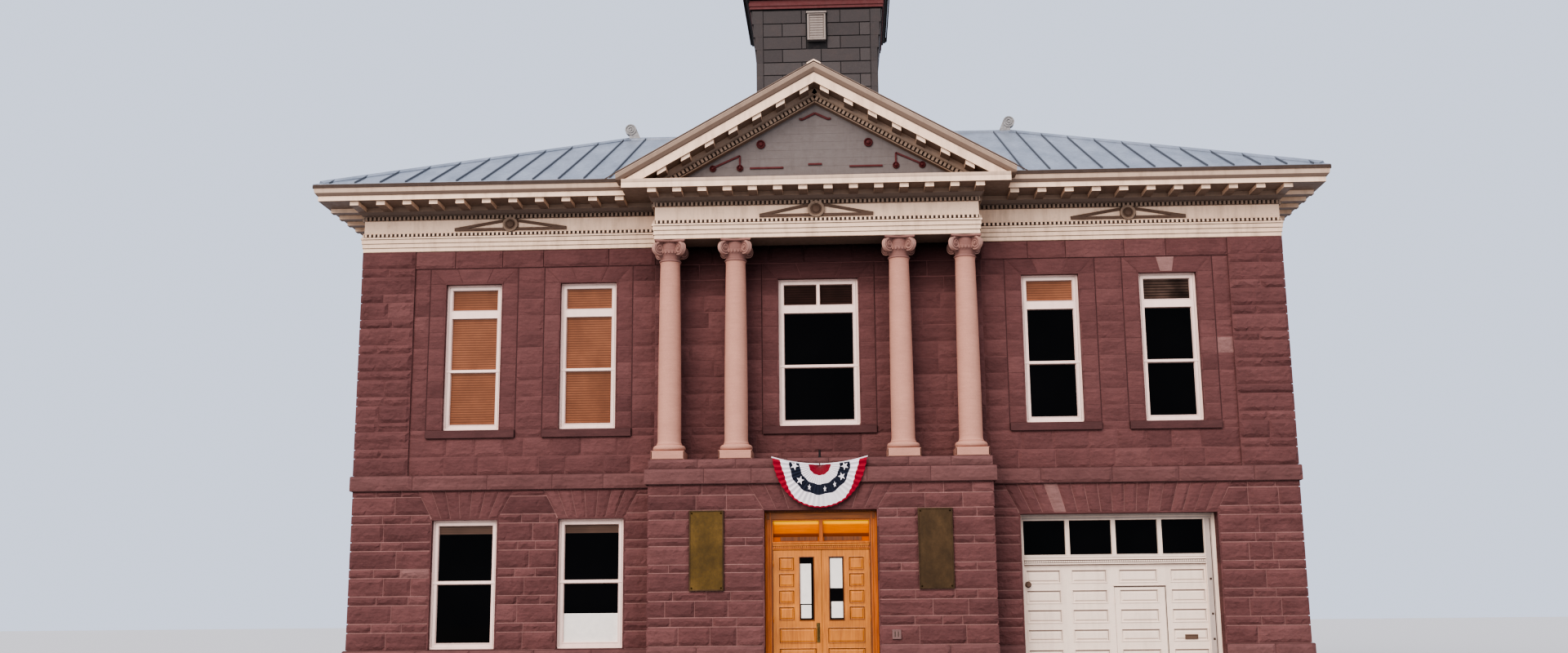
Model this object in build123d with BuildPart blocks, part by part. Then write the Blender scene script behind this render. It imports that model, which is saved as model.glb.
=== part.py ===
"""Two-storey sandstone town hall with an Ionic portico, a pediment, a hip roof and a tower.

Sizes are in millimetres. The origin is at ground level under the middle of the ridge.
The front faces -Y, +X is to the right seen from the front, and +Z is up.
"""
import math
import os

from build123d import *

os.makedirs("parts", exist_ok=True)

# Plan of the main block
half_width = 9360
half_depth = 4800
wall = 450

# Levels above the ground
floor_level = 150
base_course_top = 915
lower_wall_top = 4030
belt_top = 4330
ledge_top = 4520
wall_top = 8940
upper_floor_depth = 250

# Stone courses and strips that stand proud of the wall
course_proud = 60
strip_proud = 40
strip_width = 1080
mortar = 3

# Window openings. A wing's pair is spaced about the middle of the wing, plus a small shift
upper_sill = 5230
upper_head = 8245
upper_width = 1160
centre_width = 1632
lower_sill = base_course_top
lower_head = 3447
lower_width = 1314
pair_shift_upper = 70
pair_spacing_upper = 2360
pair_shift_lower = 35
pair_spacing_lower = 2530
side_centres = (-2600, 0, 2600)
sill_height = 155
sill_wing = 320

# Window joinery
window_reveal = 110
frame_depth = 120
frame_face = 112
bottom_rail = 125
bar_depth = 60
glass = 8
transom_low = 7545
transom_high = 7715
meeting_rail = 60
lower_meeting = 2213
upper_meeting = 6450
mullion = 60

# Entrance block, doorway and its ledge
block_half = 3320
block_proud = 813
doorway_half = 1090
doorway_head = 3520
ledge_proud = 70

# Door joinery
leaf_width = 925
leaf_thick = 48
leaf_light = (148, 419)
leaf_light_heights = (1432, 2624)
leaf_stile = 107
small_panels = 4
small_panel_width = 293
small_panel_gap = 60
wide_panel_rows = ((300, 560), (650, 910), (1000, 1290))
side_gap = 5
meeting_gap = 6
foot_gap = 8
door_setback = 263
jamb_depth = 140
stop_proud = 15
transom_bar_low = 2760
transom_bar_high = 2915
transom_light_top = 3330
panel_sink = 12
hinge_inset = 250
knuckle = 9
bar_sides = 12
knuckle_length = 60
knuckle_gap = 0.3
plate_reach = 40
plate_thick = 3
pull_plate = (60, 350, 5)
pull_middle = (-74, 1195)
grip_radius = 9
grip_stand = 45
grip_inset = 60

# Garage opening, placed like the windows. Panels and wicket are measured from its left jamb
garage_shift = 30
garage_width = 3846
garage_head = 3438
garage_setback = 300
garage_frame_depth = 120
garage_jamb_left = 78
garage_jamb_right = 223
garage_bar_low = 2443
garage_bar_high = 2636
garage_light_top = 3318
garage_light_gap = 75
garage_lights = 4
garage_door_inset = 40
garage_door_thick = 45
garage_gap = 5
panel_offsets = ((108, 783), (998, 1688), (1923, 2673), (2928, 3598))
panel_rows = ((180, 420), (575, 815), (970, 1200), (1330, 1580), (1705, 1955), (2095, 2345))
wicket_offset = 1824
wicket_width = 972
wicket_low = 200
wicket_high = 2000

# Columns, with the torus as shares of its height and widths beyond the shaft
column_inner = 1640
column_from_block_end = 357.5
column_axis = 466
plinth_side = 660
plinth_height = 170
torus_height = 125
torus_profile = ((0, 55), (0.2, 85), (0.8, 85), (1, 40))
shaft_foot_radius = 233
shaft_neck_radius = 199
shaft_straight_share = 0.3
drum_sides = 32

# Capitals, with a volute on each diagonal. The reach is from the column's axis to a volute's eye
capital_low = 8500
astragal_height = 42
astragal_radius = 222
echinus_low = 8595
echinus_height = 100
echinus_radius = 245
abacus_height = 50
abacus_half = 292
volute_reach = 330
volute_radius = 112
volute_thick = 84
volute_turns = 2
volute_steps = 8
volute_eye = 26
volute_band = 0.24
volute_proud = 9

# Entablature, as heights and as distances beyond the frieze
portico_inset = 70
portico_proud = 736
frieze_proud = 20
fascia_height = 90
fascia_count = 3
fascia_step = 15
fascia_first = 10
architrave_cap = 9250
frieze_low = 9325
frieze_high = 9610
bed_low = 9700
bracket_low = 9780
corona_low = 9865
corona_high = 9970
cornice_top = 10160
bed_reach = 110
corona_reach = 750
cyma_reach = 830
cyma_fillet = 20
cyma_swell = 22
portico_corona_reach = 605
portico_cornice_top = 10045
bracket_width = 175
bracket_pitch = 545
bracket_reach = 690
bracket_from_portico = 125
portico_bracket_pitch = 500
portico_bracket_inset = 50

# Roof of the main block
eave_beyond_wall = 860
eave_lip = 40
ridge_level = 12770
roof_drop = 260
cap_width = 260
cap_height = 45
cap_skirt = 66
hip_foot_inset = 120

# Pediment
pediment_apex = 12440
pediment_lip = 120
pediment_eave = 145
rake_reach = 600
rake_corona = 500
rake_depth = 640
rake_soffit = 365
deck_drop = 240
tympanum_thick = 120
rake_cyma = ((600, 45), (575, 110), (520, 177))
rake_overrun = 1.2
rake_bracket_count = 7
rake_bracket_first = 0.43
rake_bracket_clear = 105
rake_bracket_height = 85
rake_bracket_reach = 460

# Tower and belfry
tower_half = 1390
tower_wall = 200
flare_low = 14100
flare_out = 130
tower_top = 15380
tower_band_top = 15620
tower_cornice_top = 15900
tower_cornice_out = 300
tower_band_proud = 30
tower_bed_proud = 70
tower_bed_height = 80
belfry_half = 1250
belfry_wall = 220
belfry_height = 1650
belfry_arch_width = 1500
belfry_arch_rise = 1350
belfry_arch_sides = 12
spire_half = 1620
spire_eave = 140
spire_height = 1250
spire_head = 60
finial_profile = ((0, 50), (60, 30), (120, 30), (200, 85), (280, 30), (420, 12))
vent_width = 390
vent_height = 620
vent_top = 15250
vent_proud = 20

# Scroll finials, from the end of the ridge inward and from the ridge up
scroll_centre = (30, 227)
scroll_radius = 135
scroll_sides = 16
scroll_thick = 130
scroll_foot = 270
scroll_sunk = 80

# Plates, bunting and bracket
plaque_inner = 1865
plaque_outer = 2530
plaque_low = 1995
plaque_high = 3522
plaque_thick = 40
bunting_radius = 915
bunting_thick = 35
soft_gap = 0.3
bracket_foot = 60
bracket_foot_thick = 20
bracket_post = (20, 130)

# Places that follow from the sizes above
wing_middle = (block_half + half_width - strip_width) / 2
garage_left = wing_middle + garage_shift - garage_width / 2
garage_right = garage_left + garage_width
wicket_left = garage_left + wicket_offset
panel_columns = [(garage_left + start, garage_left + end) for start, end in panel_offsets]
column_outer = block_half - column_from_block_end
column_centres = (-column_outer, -column_inner, column_inner, column_outer)
portico_half = block_half - portico_inset
pediment_half = portico_half + portico_corona_reach + pediment_lip
rake_slope = (pediment_apex - portico_cornice_top - pediment_eave) / pediment_half
rake_angle = math.atan(rake_slope)
front_y = -half_depth
eave_half_x = half_width + eave_beyond_wall
eave_half_y = half_depth + eave_beyond_wall
ridge_half = eave_half_x - eave_half_y
roof_slope = (ridge_level - cornice_top - eave_lip) / eave_half_y

FRONT = Plane(origin=(0, front_y, 0), x_dir=(1, 0, 0), z_dir=(0, -1, 0))
BACK = Plane(origin=(0, half_depth, 0), x_dir=(-1, 0, 0), z_dir=(0, 1, 0))
LEFT = Plane(origin=(-half_width, 0, 0), x_dir=(0, -1, 0), z_dir=(-1, 0, 0))
RIGHT = Plane(origin=(half_width, 0, 0), x_dir=(0, 1, 0), z_dir=(1, 0, 0))


def save(builder, label):
    """Label one finished sub-part and write it."""
    builder.part.label = label
    export_step(builder.part, f"parts/{label}.step")
    return builder.part


def blocks(face, rectangles, outward, mode=Mode.ADD):
    """Add rectangular blocks of one depth to the open part.

    A rectangle is a span along the wall and a span up it. The last span runs outward from the face.
    """
    with BuildSketch(face.offset(outward[0])) as outline:
        for across, height in rectangles:
            with Locations((sum(across) / 2, sum(height) / 2)):
                Rectangle(across[1] - across[0], height[1] - height[0])
    extrude(outline.sketch, amount=outward[1] - outward[0], mode=mode)


def block(face, across, height, outward, mode=Mode.ADD):
    """Add one rectangular block to the open part."""
    blocks(face, [(across, height)], outward, mode)


def mirrored(span):
    """The span on the other side of the middle."""
    return (-span[1], -span[0])


def around(centre, width):
    """The span of a given width about a centre."""
    return (centre - width / 2, centre + width / 2)


def window_pair(shift, spacing, width):
    """The spans of the two windows of the right wing."""
    middle = wing_middle + shift
    return [around(middle + side * spacing / 2, width) for side in (-1, 1)]


# Windows of each face, as the span across and the span in height
upper_heights = (upper_sill, upper_head)
lower_heights = (lower_sill, lower_head)
upper_right = window_pair(pair_shift_upper, pair_spacing_upper, upper_width)
upper_left = [mirrored(span) for span in upper_right]
lower_right = window_pair(pair_shift_lower, pair_spacing_lower, lower_width)
lower_left = [mirrored(span) for span in lower_right]
upper_middle = around(0, centre_width)
lower_middle = around(0, lower_width)
side_upper = [around(centre, upper_width) for centre in side_centres]
side_lower = [around(centre, lower_width) for centre in side_centres]
upper_windows = {
    "front": (FRONT, upper_left + [upper_middle] + upper_right),
    "left": (LEFT, side_upper),
    "right": (RIGHT, side_upper),
    "back": (BACK, upper_left + [upper_middle] + upper_right),
}
lower_windows = {
    "front": (FRONT, lower_left),
    "left": (LEFT, side_lower),
    "right": (RIGHT, side_lower),
    "back": (BACK, lower_left + [lower_middle] + lower_right),
}


def with_heights(spans, heights):
    """Pair each span across with the same span in height."""
    return [(span, heights) for span in spans]


def pierced_wall(face, across, height, openings, strips=()):
    """Build a wall slab with openings cut through and strips that stand proud."""
    with BuildPart() as slab:
        with BuildSketch(face) as elevation:
            with Locations((sum(across) / 2, sum(height) / 2)):
                Rectangle(across[1] - across[0], height[1] - height[0])
            for hole, rise in openings:
                with Locations((sum(hole) / 2, sum(rise) / 2)):
                    Rectangle(hole[1] - hole[0], rise[1] - rise[0], mode=Mode.SUBTRACT)
        extrude(elevation.sketch, amount=-wall)
        if strips:
            blocks(face, with_heights(strips, (belt_top, wall_top)), (0, strip_proud))
    return slab


# Floors
inner_x = half_width - wall
inner_y = half_depth - wall
with BuildPart() as ground_floor:
    with BuildSketch() as plan:
        Rectangle(2 * inner_x, 2 * inner_y)
    extrude(plan.sketch, amount=floor_level)
save(ground_floor, "ground_floor")

with BuildPart() as upper_floor:
    with BuildSketch(Plane.XY.offset(belt_top)) as plan:
        Rectangle(2 * inner_x, 2 * inner_y)
    extrude(plan.sketch, amount=-upper_floor_depth)
save(upper_floor, "upper_floor")

doorway = (-doorway_half, doorway_half)
garage = (garage_left, garage_right)
with BuildPart() as door_sills:
    block(FRONT, doorway, (0, floor_level), (-wall, block_proud))
    block(FRONT, garage, (0, floor_level), (-wall, 0))
save(door_sills, "door_sills")

# Masonry walls
corner_strip = (half_width - strip_width, half_width)
front_wall_left = pierced_wall(
    FRONT,
    (-half_width, -block_half),
    (0, wall_top),
    with_heights(upper_left, upper_heights) + with_heights(lower_left, lower_heights),
    [mirrored(corner_strip)],
)
save(front_wall_left, "front_wall_left")

front_wall_right = pierced_wall(
    FRONT,
    (block_half, half_width),
    (garage_head, wall_top),
    with_heights(upper_right, upper_heights),
    [corner_strip],
)
save(front_wall_right, "front_wall_right")

front_wall_centre = pierced_wall(
    FRONT,
    (-block_half, block_half),
    (lower_wall_top, wall_top),
    [(upper_middle, upper_heights)],
)
save(front_wall_centre, "front_wall_centre")

with BuildPart() as garage_piers:
    block(FRONT, (block_half, garage_left), (0, garage_head), (-wall, 0))
    block(FRONT, (garage_right, half_width), (0, garage_head), (-wall, 0))
save(garage_piers, "garage_piers")

with BuildPart() as entrance_piers:
    block(FRONT, (-block_half, -doorway_half), (0, lower_wall_top), (-wall, block_proud))
    block(FRONT, (doorway_half, block_half), (0, lower_wall_top), (-wall, block_proud))
save(entrance_piers, "entrance_piers")

with BuildPart() as entrance_lintel:
    block(FRONT, doorway, (doorway_head, lower_wall_top), (-wall, block_proud))
save(entrance_lintel, "entrance_lintel")

side_openings = with_heights(side_upper, upper_heights) + with_heights(side_lower, lower_heights)
left_wall = pierced_wall(LEFT, (-inner_y, inner_y), (0, wall_top), side_openings)
save(left_wall, "left_wall")
right_wall = pierced_wall(RIGHT, (-inner_y, inner_y), (0, wall_top), side_openings)
save(right_wall, "right_wall")

back_upper, back_lower = upper_windows["back"][1], lower_windows["back"][1]
back_wall = pierced_wall(
    BACK,
    (-half_width, half_width),
    (0, wall_top),
    with_heights(back_upper, upper_heights) + with_heights(back_lower, lower_heights),
    [corner_strip, mirrored(corner_strip)],
)
save(back_wall, "back_wall")


# Courses of dressed stone, low and at the upper floor, in runs that stop short of each other
def course_runs(height, front_runs):
    """Add the runs of one proud course around the building to the open part."""
    for run in front_runs:
        block(FRONT, run, height, (0, course_proud))
    full = (-half_width - course_proud, half_width + course_proud)
    block(BACK, full, height, (0, course_proud))
    side = (-half_depth + mortar, half_depth - mortar)
    block(LEFT, side, height, (0, course_proud))
    block(RIGHT, side, height, (0, course_proud))


course_end = half_width + course_proud
beside_block = block_half + mortar
base_height = (0, base_course_top)
with BuildPart() as base_course:
    right_runs = [(beside_block, garage_left), (garage_right, course_end)]
    course_runs(base_height, [(-course_end, -beside_block)] + right_runs)
    for run in ((-block_half, -doorway_half), (doorway_half, block_half)):
        block(FRONT, run, base_height, (block_proud, block_proud + course_proud))
save(base_course, "base_course")

beside_ledge = block_half + ledge_proud + mortar
with BuildPart() as belt_course:
    runs = [(-course_end, -beside_ledge), (beside_ledge, course_end)]
    course_runs((lower_wall_top, belt_top), runs)
save(belt_course, "belt_course")

ledge_half = block_half + ledge_proud
ledge_out = block_proud + ledge_proud
with BuildPart() as portico_ledge:
    block(FRONT, (-ledge_half, ledge_half), (lower_wall_top, belt_top), (0, ledge_out))
    block(FRONT, (-block_half, block_half), (belt_top, ledge_top), (0, block_proud))
save(portico_ledge, "portico_ledge")

with BuildPart() as window_sills:
    for face, spans in upper_windows.values():
        wide = [(span[0] - sill_wing, span[1] + sill_wing) for span in spans]
        rises = with_heights(wide, (upper_sill - sill_height, upper_sill))
        blocks(face, rises, (0, course_proud))
save(window_sills, "window_sills")


# Window joinery
def clear_span(span):
    """The span of the light inside a window's frame."""
    return (span[0] + frame_face, span[1] - frame_face)


def clear_height(height):
    """The height of the light inside a window's frame."""
    return (height[0] + bottom_rail, height[1] - frame_face)


def window_frames(face, spans, height, bars, posts=()):
    """Add the frames of one row of windows, with their bars, to the open part."""
    outward = (-window_reveal - frame_depth, -window_reveal)
    with BuildSketch(face.offset(outward[0])) as rings:
        for span in spans:
            light, rise = clear_span(span), clear_height(height)
            with Locations((sum(span) / 2, sum(height) / 2)):
                Rectangle(span[1] - span[0], height[1] - height[0])
            with Locations((sum(span) / 2, sum(rise) / 2)):
                Rectangle(light[1] - light[0], rise[1] - rise[0], mode=Mode.SUBTRACT)
    extrude(rings.sketch, amount=frame_depth)
    rails = [(clear_span(span), bar) for span in spans for bar in bars]
    blocks(face, rails + list(posts), (-window_reveal - bar_depth, -window_reveal))


def window_panes(face, spans, height):
    """Add one sheet of glass behind the bars of each window in a row."""
    back = -window_reveal - bar_depth
    panes = [(clear_span(span), clear_height(height)) for span in spans]
    blocks(face, panes, (back - glass, back))


upper_bars = (around(upper_meeting, meeting_rail), (transom_low, transom_high))
lower_bars = (around(lower_meeting, meeting_rail),)
middle_post = (around(0, mullion), (transom_high, clear_height(upper_heights)[1]))

with BuildPart() as upper_window_frames:
    for face, spans in upper_windows.values():
        posts = [middle_post] if upper_middle in spans else []
        window_frames(face, spans, upper_heights, upper_bars, posts)
save(upper_window_frames, "upper_window_frames")

with BuildPart() as lower_window_frames:
    for face, spans in lower_windows.values():
        window_frames(face, spans, lower_heights, lower_bars)
save(lower_window_frames, "lower_window_frames")

with BuildPart() as upper_window_glass:
    for face, spans in upper_windows.values():
        window_panes(face, spans, upper_heights)
save(upper_window_glass, "upper_window_glass")

with BuildPart() as lower_window_glass:
    for face, spans in lower_windows.values():
        window_panes(face, spans, lower_heights)
save(lower_window_glass, "lower_window_glass")

# Entrance door: frame, two leaves that open outward, and their hinges
leaf_face = block_proud - door_setback
leaf_low = floor_level + foot_gap
leaf_high = transom_bar_low - side_gap
jamb_face = leaf_width + side_gap + meeting_gap / 2
pin_x = jamb_face - side_gap / 2
pin_out = leaf_face + knuckle
hinge_levels = (leaf_low + hinge_inset, (leaf_low + leaf_high) / 2, leaf_high - hinge_inset)
stop_out = leaf_face - leaf_thick - side_gap


def upright(x, out, low, high, radius):
    """Add a vertical bar, drawn as a fine prism, at a distance before the front wall."""
    with BuildSketch(Plane.XY.offset(low)) as section:
        with Locations((x, front_y - out)):
            RegularPolygon(radius, bar_sides)
    extrude(section.sketch, amount=high - low)


def hinge_half(x, out, height, way, plate_face):
    """Add half of a hinge: its knuckle and the plate that lies one way from it."""
    upright(x, out, height[0], height[1], knuckle)
    plate = (x, x + plate_reach) if way > 0 else (x - plate_reach, x)
    block(FRONT, plate, height, (plate_face, plate_face + plate_thick))


def fixed_height(level):
    """The height of the fixed knuckle, below the level of its hinge."""
    return (level - knuckle_length, level)


def moving_height(level):
    """The height of the moving knuckle, just above the fixed one."""
    return (level + knuckle_gap, level + knuckle_length)


with BuildPart() as door_frame:
    whole = (leaf_face - jamb_depth, leaf_face)
    for jamb in ((-doorway_half, -jamb_face), (jamb_face, doorway_half)):
        block(FRONT, jamb, (floor_level, doorway_head), whole)
    across = (-jamb_face, jamb_face)
    block(FRONT, across, (transom_bar_low, transom_bar_high), whole)
    block(FRONT, across, (transom_light_top, doorway_head), whole)
    block(FRONT, around(0, mullion), (transom_bar_high, transom_light_top), whole)
    stop = (leaf_face - jamb_depth, stop_out)
    for edge in ((-jamb_face, stop_proud - jamb_face), (jamb_face - stop_proud, jamb_face)):
        block(FRONT, edge, (floor_level, transom_bar_low), stop)
    for sign in (-1, 1):
        for level in hinge_levels:
            hinge_half(sign * pin_x, pin_out, fixed_height(level), sign, leaf_face)
save(door_frame, "door_frame")

# Panels of a leaf, measured from the hinge edge, and the tall light beside the meeting edge
light_span = (leaf_width - leaf_light[1], leaf_width - leaf_light[0])
small_span = (leaf_stile, leaf_stile + small_panel_width)
wide_span = (leaf_stile, leaf_width - leaf_stile)


def leaf_panels():
    """The sunk panels of one leaf, as spans from the hinge edge and in height."""
    low, high = leaf_light_heights
    rise = (high - low - (small_panels - 1) * small_panel_gap) / small_panels
    feet = [low + number * (rise + small_panel_gap) for number in range(small_panels)]
    small = [(small_span, (foot, foot + rise)) for foot in feet]
    return small + [(wide_span, row) for row in wide_panel_rows]


def door_leaf(sign):
    """Build one leaf. Its hinge edge is at the jamb on the side given by the sign."""
    hinge_edge = jamb_face - side_gap

    def from_hinge(span):
        """Turn a span from the hinge edge into a span along the front."""
        if sign > 0:
            return (hinge_edge - span[1], hinge_edge - span[0])
        return (span[0] - hinge_edge, span[1] - hinge_edge)

    with BuildPart() as leaf:
        back_face = leaf_face - leaf_thick
        block(FRONT, from_hinge((0, leaf_width)), (leaf_low, leaf_high), (back_face, leaf_face))
        through = (back_face, leaf_face)
        block(FRONT, from_hinge(light_span), leaf_light_heights, through, Mode.SUBTRACT)
        panels = [(from_hinge(span), height) for span, height in leaf_panels()]
        blocks(FRONT, panels, (leaf_face - panel_sink, leaf_face), Mode.SUBTRACT)
        blocks(FRONT, panels, (back_face, back_face + panel_sink), Mode.SUBTRACT)
        for level in hinge_levels:
            hinge_half(sign * pin_x, pin_out, moving_height(level), -sign, leaf_face)
    with BuildPart() as pane:
        middle = leaf_face - leaf_thick / 2
        block(FRONT, from_hinge(light_span), leaf_light_heights, around(middle, glass))
    return leaf, pane


left_door_leaf, left_door_glass = door_leaf(-1)
right_door_leaf, right_door_glass = door_leaf(1)
save(left_door_leaf, "left_door_leaf")
save(left_door_glass, "left_door_glass")
save(right_door_leaf, "right_door_leaf")
save(right_door_glass, "right_door_glass")

# Pull on the meeting edge of the left leaf
with BuildPart() as door_pull:
    pull_width, pull_height, pull_thick = pull_plate
    plate_x, plate_level = pull_middle
    plate_out = leaf_face + pull_thick
    plate_height = around(plate_level, pull_height)
    block(FRONT, around(plate_x, pull_width), plate_height, (leaf_face, plate_out))
    foot_low, foot_high = plate_height[0] + grip_inset, plate_height[1] - grip_inset
    upright(plate_x, leaf_face + grip_stand, foot_low, foot_high, grip_radius)
    for level in (foot_low + grip_radius, foot_high - grip_radius):
        arm = (plate_out, leaf_face + grip_stand)
        block(FRONT, around(plate_x, grip_radius), around(level, 2 * grip_radius), arm)
save(door_pull, "door_pull")

# Glass over the doors
with BuildPart() as transom_glass:
    middle = leaf_face - jamb_depth / 2
    for side in ((-jamb_face, -mullion / 2), (mullion / 2, jamb_face)):
        block(FRONT, side, (transom_bar_high, transom_light_top), around(middle, glass))
    lights_left = garage_left + garage_jamb_left
    lights_right = garage_right - garage_jamb_right
    light_width = (lights_right - lights_left + garage_light_gap) / garage_lights - garage_light_gap
    garage_middle = -garage_setback - garage_frame_depth / 2
    for number in range(garage_lights):
        start = lights_left + number * (light_width + garage_light_gap)
        rise = (garage_bar_high, garage_light_top)
        block(FRONT, (start, start + light_width), rise, around(garage_middle, glass))
save(transom_glass, "transom_glass")

# Garage frame, the large door and its wicket
with BuildPart() as garage_frame:
    depth = (-garage_setback - garage_frame_depth, -garage_setback)
    block(FRONT, (garage_left, lights_left), (floor_level, garage_head), depth)
    block(FRONT, (lights_right, garage_right), (floor_level, garage_head), depth)
    block(FRONT, (lights_left, lights_right), (garage_bar_low, garage_bar_high), depth)
    block(FRONT, (lights_left, lights_right), (garage_light_top, garage_head), depth)
    for number in range(1, garage_lights):
        start = lights_left + number * (light_width + garage_light_gap) - garage_light_gap
        rise = (garage_bar_high, garage_light_top)
        block(FRONT, (start, start + garage_light_gap), rise, depth)
save(garage_frame, "garage_frame")

door_out = -garage_setback - garage_door_inset
door_back = door_out - garage_door_thick
wicket_right = wicket_left + wicket_width
wicket_pin_x = wicket_left - garage_gap / 2
wicket_pin_out = door_out + knuckle
wicket_hinges = (wicket_low + hinge_inset, wicket_high - hinge_inset)


def inside_wicket(column, row):
    """True where a panel belongs to the wicket."""
    across = column[0] > wicket_left and column[1] < wicket_right
    return across and wicket_low < row[0] and row[1] < wicket_high


with BuildPart() as garage_door:
    across = (lights_left, lights_right)
    block(FRONT, across, (floor_level, garage_bar_low), (door_back, door_out))
    hole = (wicket_left - garage_gap, wicket_right + garage_gap)
    rise = (wicket_low - garage_gap, wicket_high + garage_gap)
    block(FRONT, hole, rise, (door_back, door_out), Mode.SUBTRACT)
    panels = [
        (column, row)
        for column in panel_columns
        for row in panel_rows
        if column[1] < hole[0] or column[0] > hole[1] or row[0] > rise[1]
    ]
    blocks(FRONT, panels, (door_out - panel_sink, door_out), Mode.SUBTRACT)
    for level in wicket_hinges:
        hinge_half(wicket_pin_x, wicket_pin_out, fixed_height(level), -1, door_out)
save(garage_door, "garage_door")

with BuildPart() as wicket_door:
    body = (wicket_left, wicket_right)
    block(FRONT, body, (wicket_low, wicket_high), (door_back, door_out))
    panels = [
        (column, row)
        for column in panel_columns
        for row in panel_rows
        if inside_wicket(column, row)
    ]
    blocks(FRONT, panels, (door_out - panel_sink, door_out), Mode.SUBTRACT)
    for level in wicket_hinges:
        hinge_half(wicket_pin_x, wicket_pin_out, moving_height(level), 1, door_out)
save(wicket_door, "wicket_door")

# Columns: plinth, torus and a shaft that is straight at first and then tapers
column_spots = [(centre, front_y - column_axis) for centre in column_centres]


def drums(spots, heights, radii):
    """Add one round drum at each spot, as a fine prism that may taper, to the open part.

    A drum that widens upward is drawn from its top.
    """
    low, high = heights
    way = -1 if radii[1] > radii[0] else 1
    start = high if way < 0 else low
    taper = math.degrees(math.atan2(max(radii) - min(radii), high - low))
    end_plane = Plane(origin=(0, 0, start), x_dir=(1, 0, 0), z_dir=(0, 0, way))
    with BuildSketch(end_plane) as plan:
        with Locations(*[(x, way * y) for x, y in spots]):
            RegularPolygon(max(radii), drum_sides, major_radius=False)
    extrude(plan.sketch, amount=high - low, taper=taper)


torus_low = ledge_top + plinth_height
shaft_foot = torus_low + torus_height
with BuildPart() as columns:
    with BuildSketch(Plane.XY.offset(ledge_top)) as plinths:
        with Locations(*column_spots):
            Rectangle(plinth_side, plinth_side)
    extrude(plinths.sketch, amount=plinth_height)
    for (start, start_out), (end, end_out) in zip(torus_profile, torus_profile[1:]):
        heights = (torus_low + start * torus_height, torus_low + end * torus_height)
        drums(column_spots, heights, (shaft_foot_radius + start_out, shaft_foot_radius + end_out))
    taper_level = shaft_foot + shaft_straight_share * (capital_low - shaft_foot)
    drums(column_spots, (shaft_foot, taper_level), (shaft_foot_radius, shaft_foot_radius))
    drums(column_spots, (taper_level, capital_low), (shaft_foot_radius, shaft_neck_radius))
save(columns, "columns")

# Capitals: astragal, necking, echinus, a scrolled volute on each diagonal and an abacus
abacus_low = wall_top - abacus_height
volute_level = abacus_low - volute_radius


def spiral(share):
    """Points of a spiral from the top of a volute to its eye, with its radii times a share."""
    count = volute_turns * volute_steps
    points = []
    for number in range(count + 1):
        radius = share * volute_radius * (volute_eye / volute_radius) ** (number / count)
        angle = math.pi / 2 - 2 * math.pi * number / volute_steps
        points.append((volute_reach + radius * math.cos(angle), radius * math.sin(angle)))
    return points


with BuildPart() as capital:
    axis_spot = [(0, 0)]
    astragal_top = capital_low + astragal_height
    echinus_top = echinus_low + echinus_height
    drums(axis_spot, (capital_low, astragal_top), (astragal_radius, astragal_radius))
    drums(axis_spot, (astragal_top, echinus_low), (shaft_neck_radius, shaft_neck_radius))
    drums(axis_spot, (echinus_low, echinus_top), (shaft_neck_radius, echinus_radius))
    drums(axis_spot, (echinus_top, abacus_low), (echinus_radius, echinus_radius))
    with BuildSketch(Plane.XY.offset(abacus_low)) as top:
        Rectangle(2 * abacus_half, 2 * abacus_half)
    extrude(top.sketch, amount=abacus_height)
    band = spiral(1) + spiral(1 - volute_band)[::-1]
    for quarter in range(4):
        turn = math.pi / 4 + quarter * math.pi / 2
        outward = (math.cos(turn), math.sin(turn), 0)
        across = (math.sin(turn), -math.cos(turn), 0)
        scroll_plane = Plane(origin=(0, 0, volute_level), x_dir=outward, z_dir=across)
        with BuildSketch(scroll_plane.offset(-volute_thick / 2)) as scroll:
            with Locations((volute_reach, 0)):
                RegularPolygon(volute_radius, 2 * volute_steps)
            with Locations((volute_reach / 2, volute_radius / 2)):
                Rectangle(volute_reach, volute_radius)
        extrude(scroll.sketch, amount=volute_thick)
        with BuildSketch(scroll_plane.offset(-volute_thick / 2 - volute_proud)) as relief:
            with BuildLine():
                Polyline(*band, close=True)
            make_face()
            with Locations((volute_reach, 0)):
                RegularPolygon(volute_eye, volute_steps)
        extrude(relief.sketch, amount=volute_thick + 2 * volute_proud)

with BuildPart() as column_capitals:
    with Locations(*column_spots):
        add(capital.part)
save(column_capitals, "column_capitals")

# Entablature profile, from the frieze outward
def entablature_outline(inner, corona, top, lip):
    """Draw the closed profile, as distances beyond the frieze against heights."""
    step = fascia_step
    points = [(inner, wall_top), (fascia_first, wall_top)]
    level = wall_top
    reach = fascia_first
    for number in range(fascia_count):
        level += fascia_height
        points.append((reach, level))
        reach += step
        points.append((reach, level))
    points += [
        (reach, architrave_cap),
        (step, architrave_cap),
        (step, frieze_low),
        (0, frieze_low),
        (0, frieze_high),
        (2 * step, frieze_high),
        (2 * step, bed_low),
        (bed_reach, bracket_low),
        (bed_reach, corona_low),
        (corona, corona_low),
        (corona, min(corona_high, top)),
    ]
    if lip > corona:
        swell = ((corona + lip) / 2 + cyma_swell, (corona_high + top - eave_lip) / 2 - cyma_swell)
        points += [(corona + cyma_fillet, corona_high), swell, (lip, top - eave_lip), (lip, top)]
    else:
        points.append((corona, top))
    points.append((inner, top))
    Polyline(*points, close=True)


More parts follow.
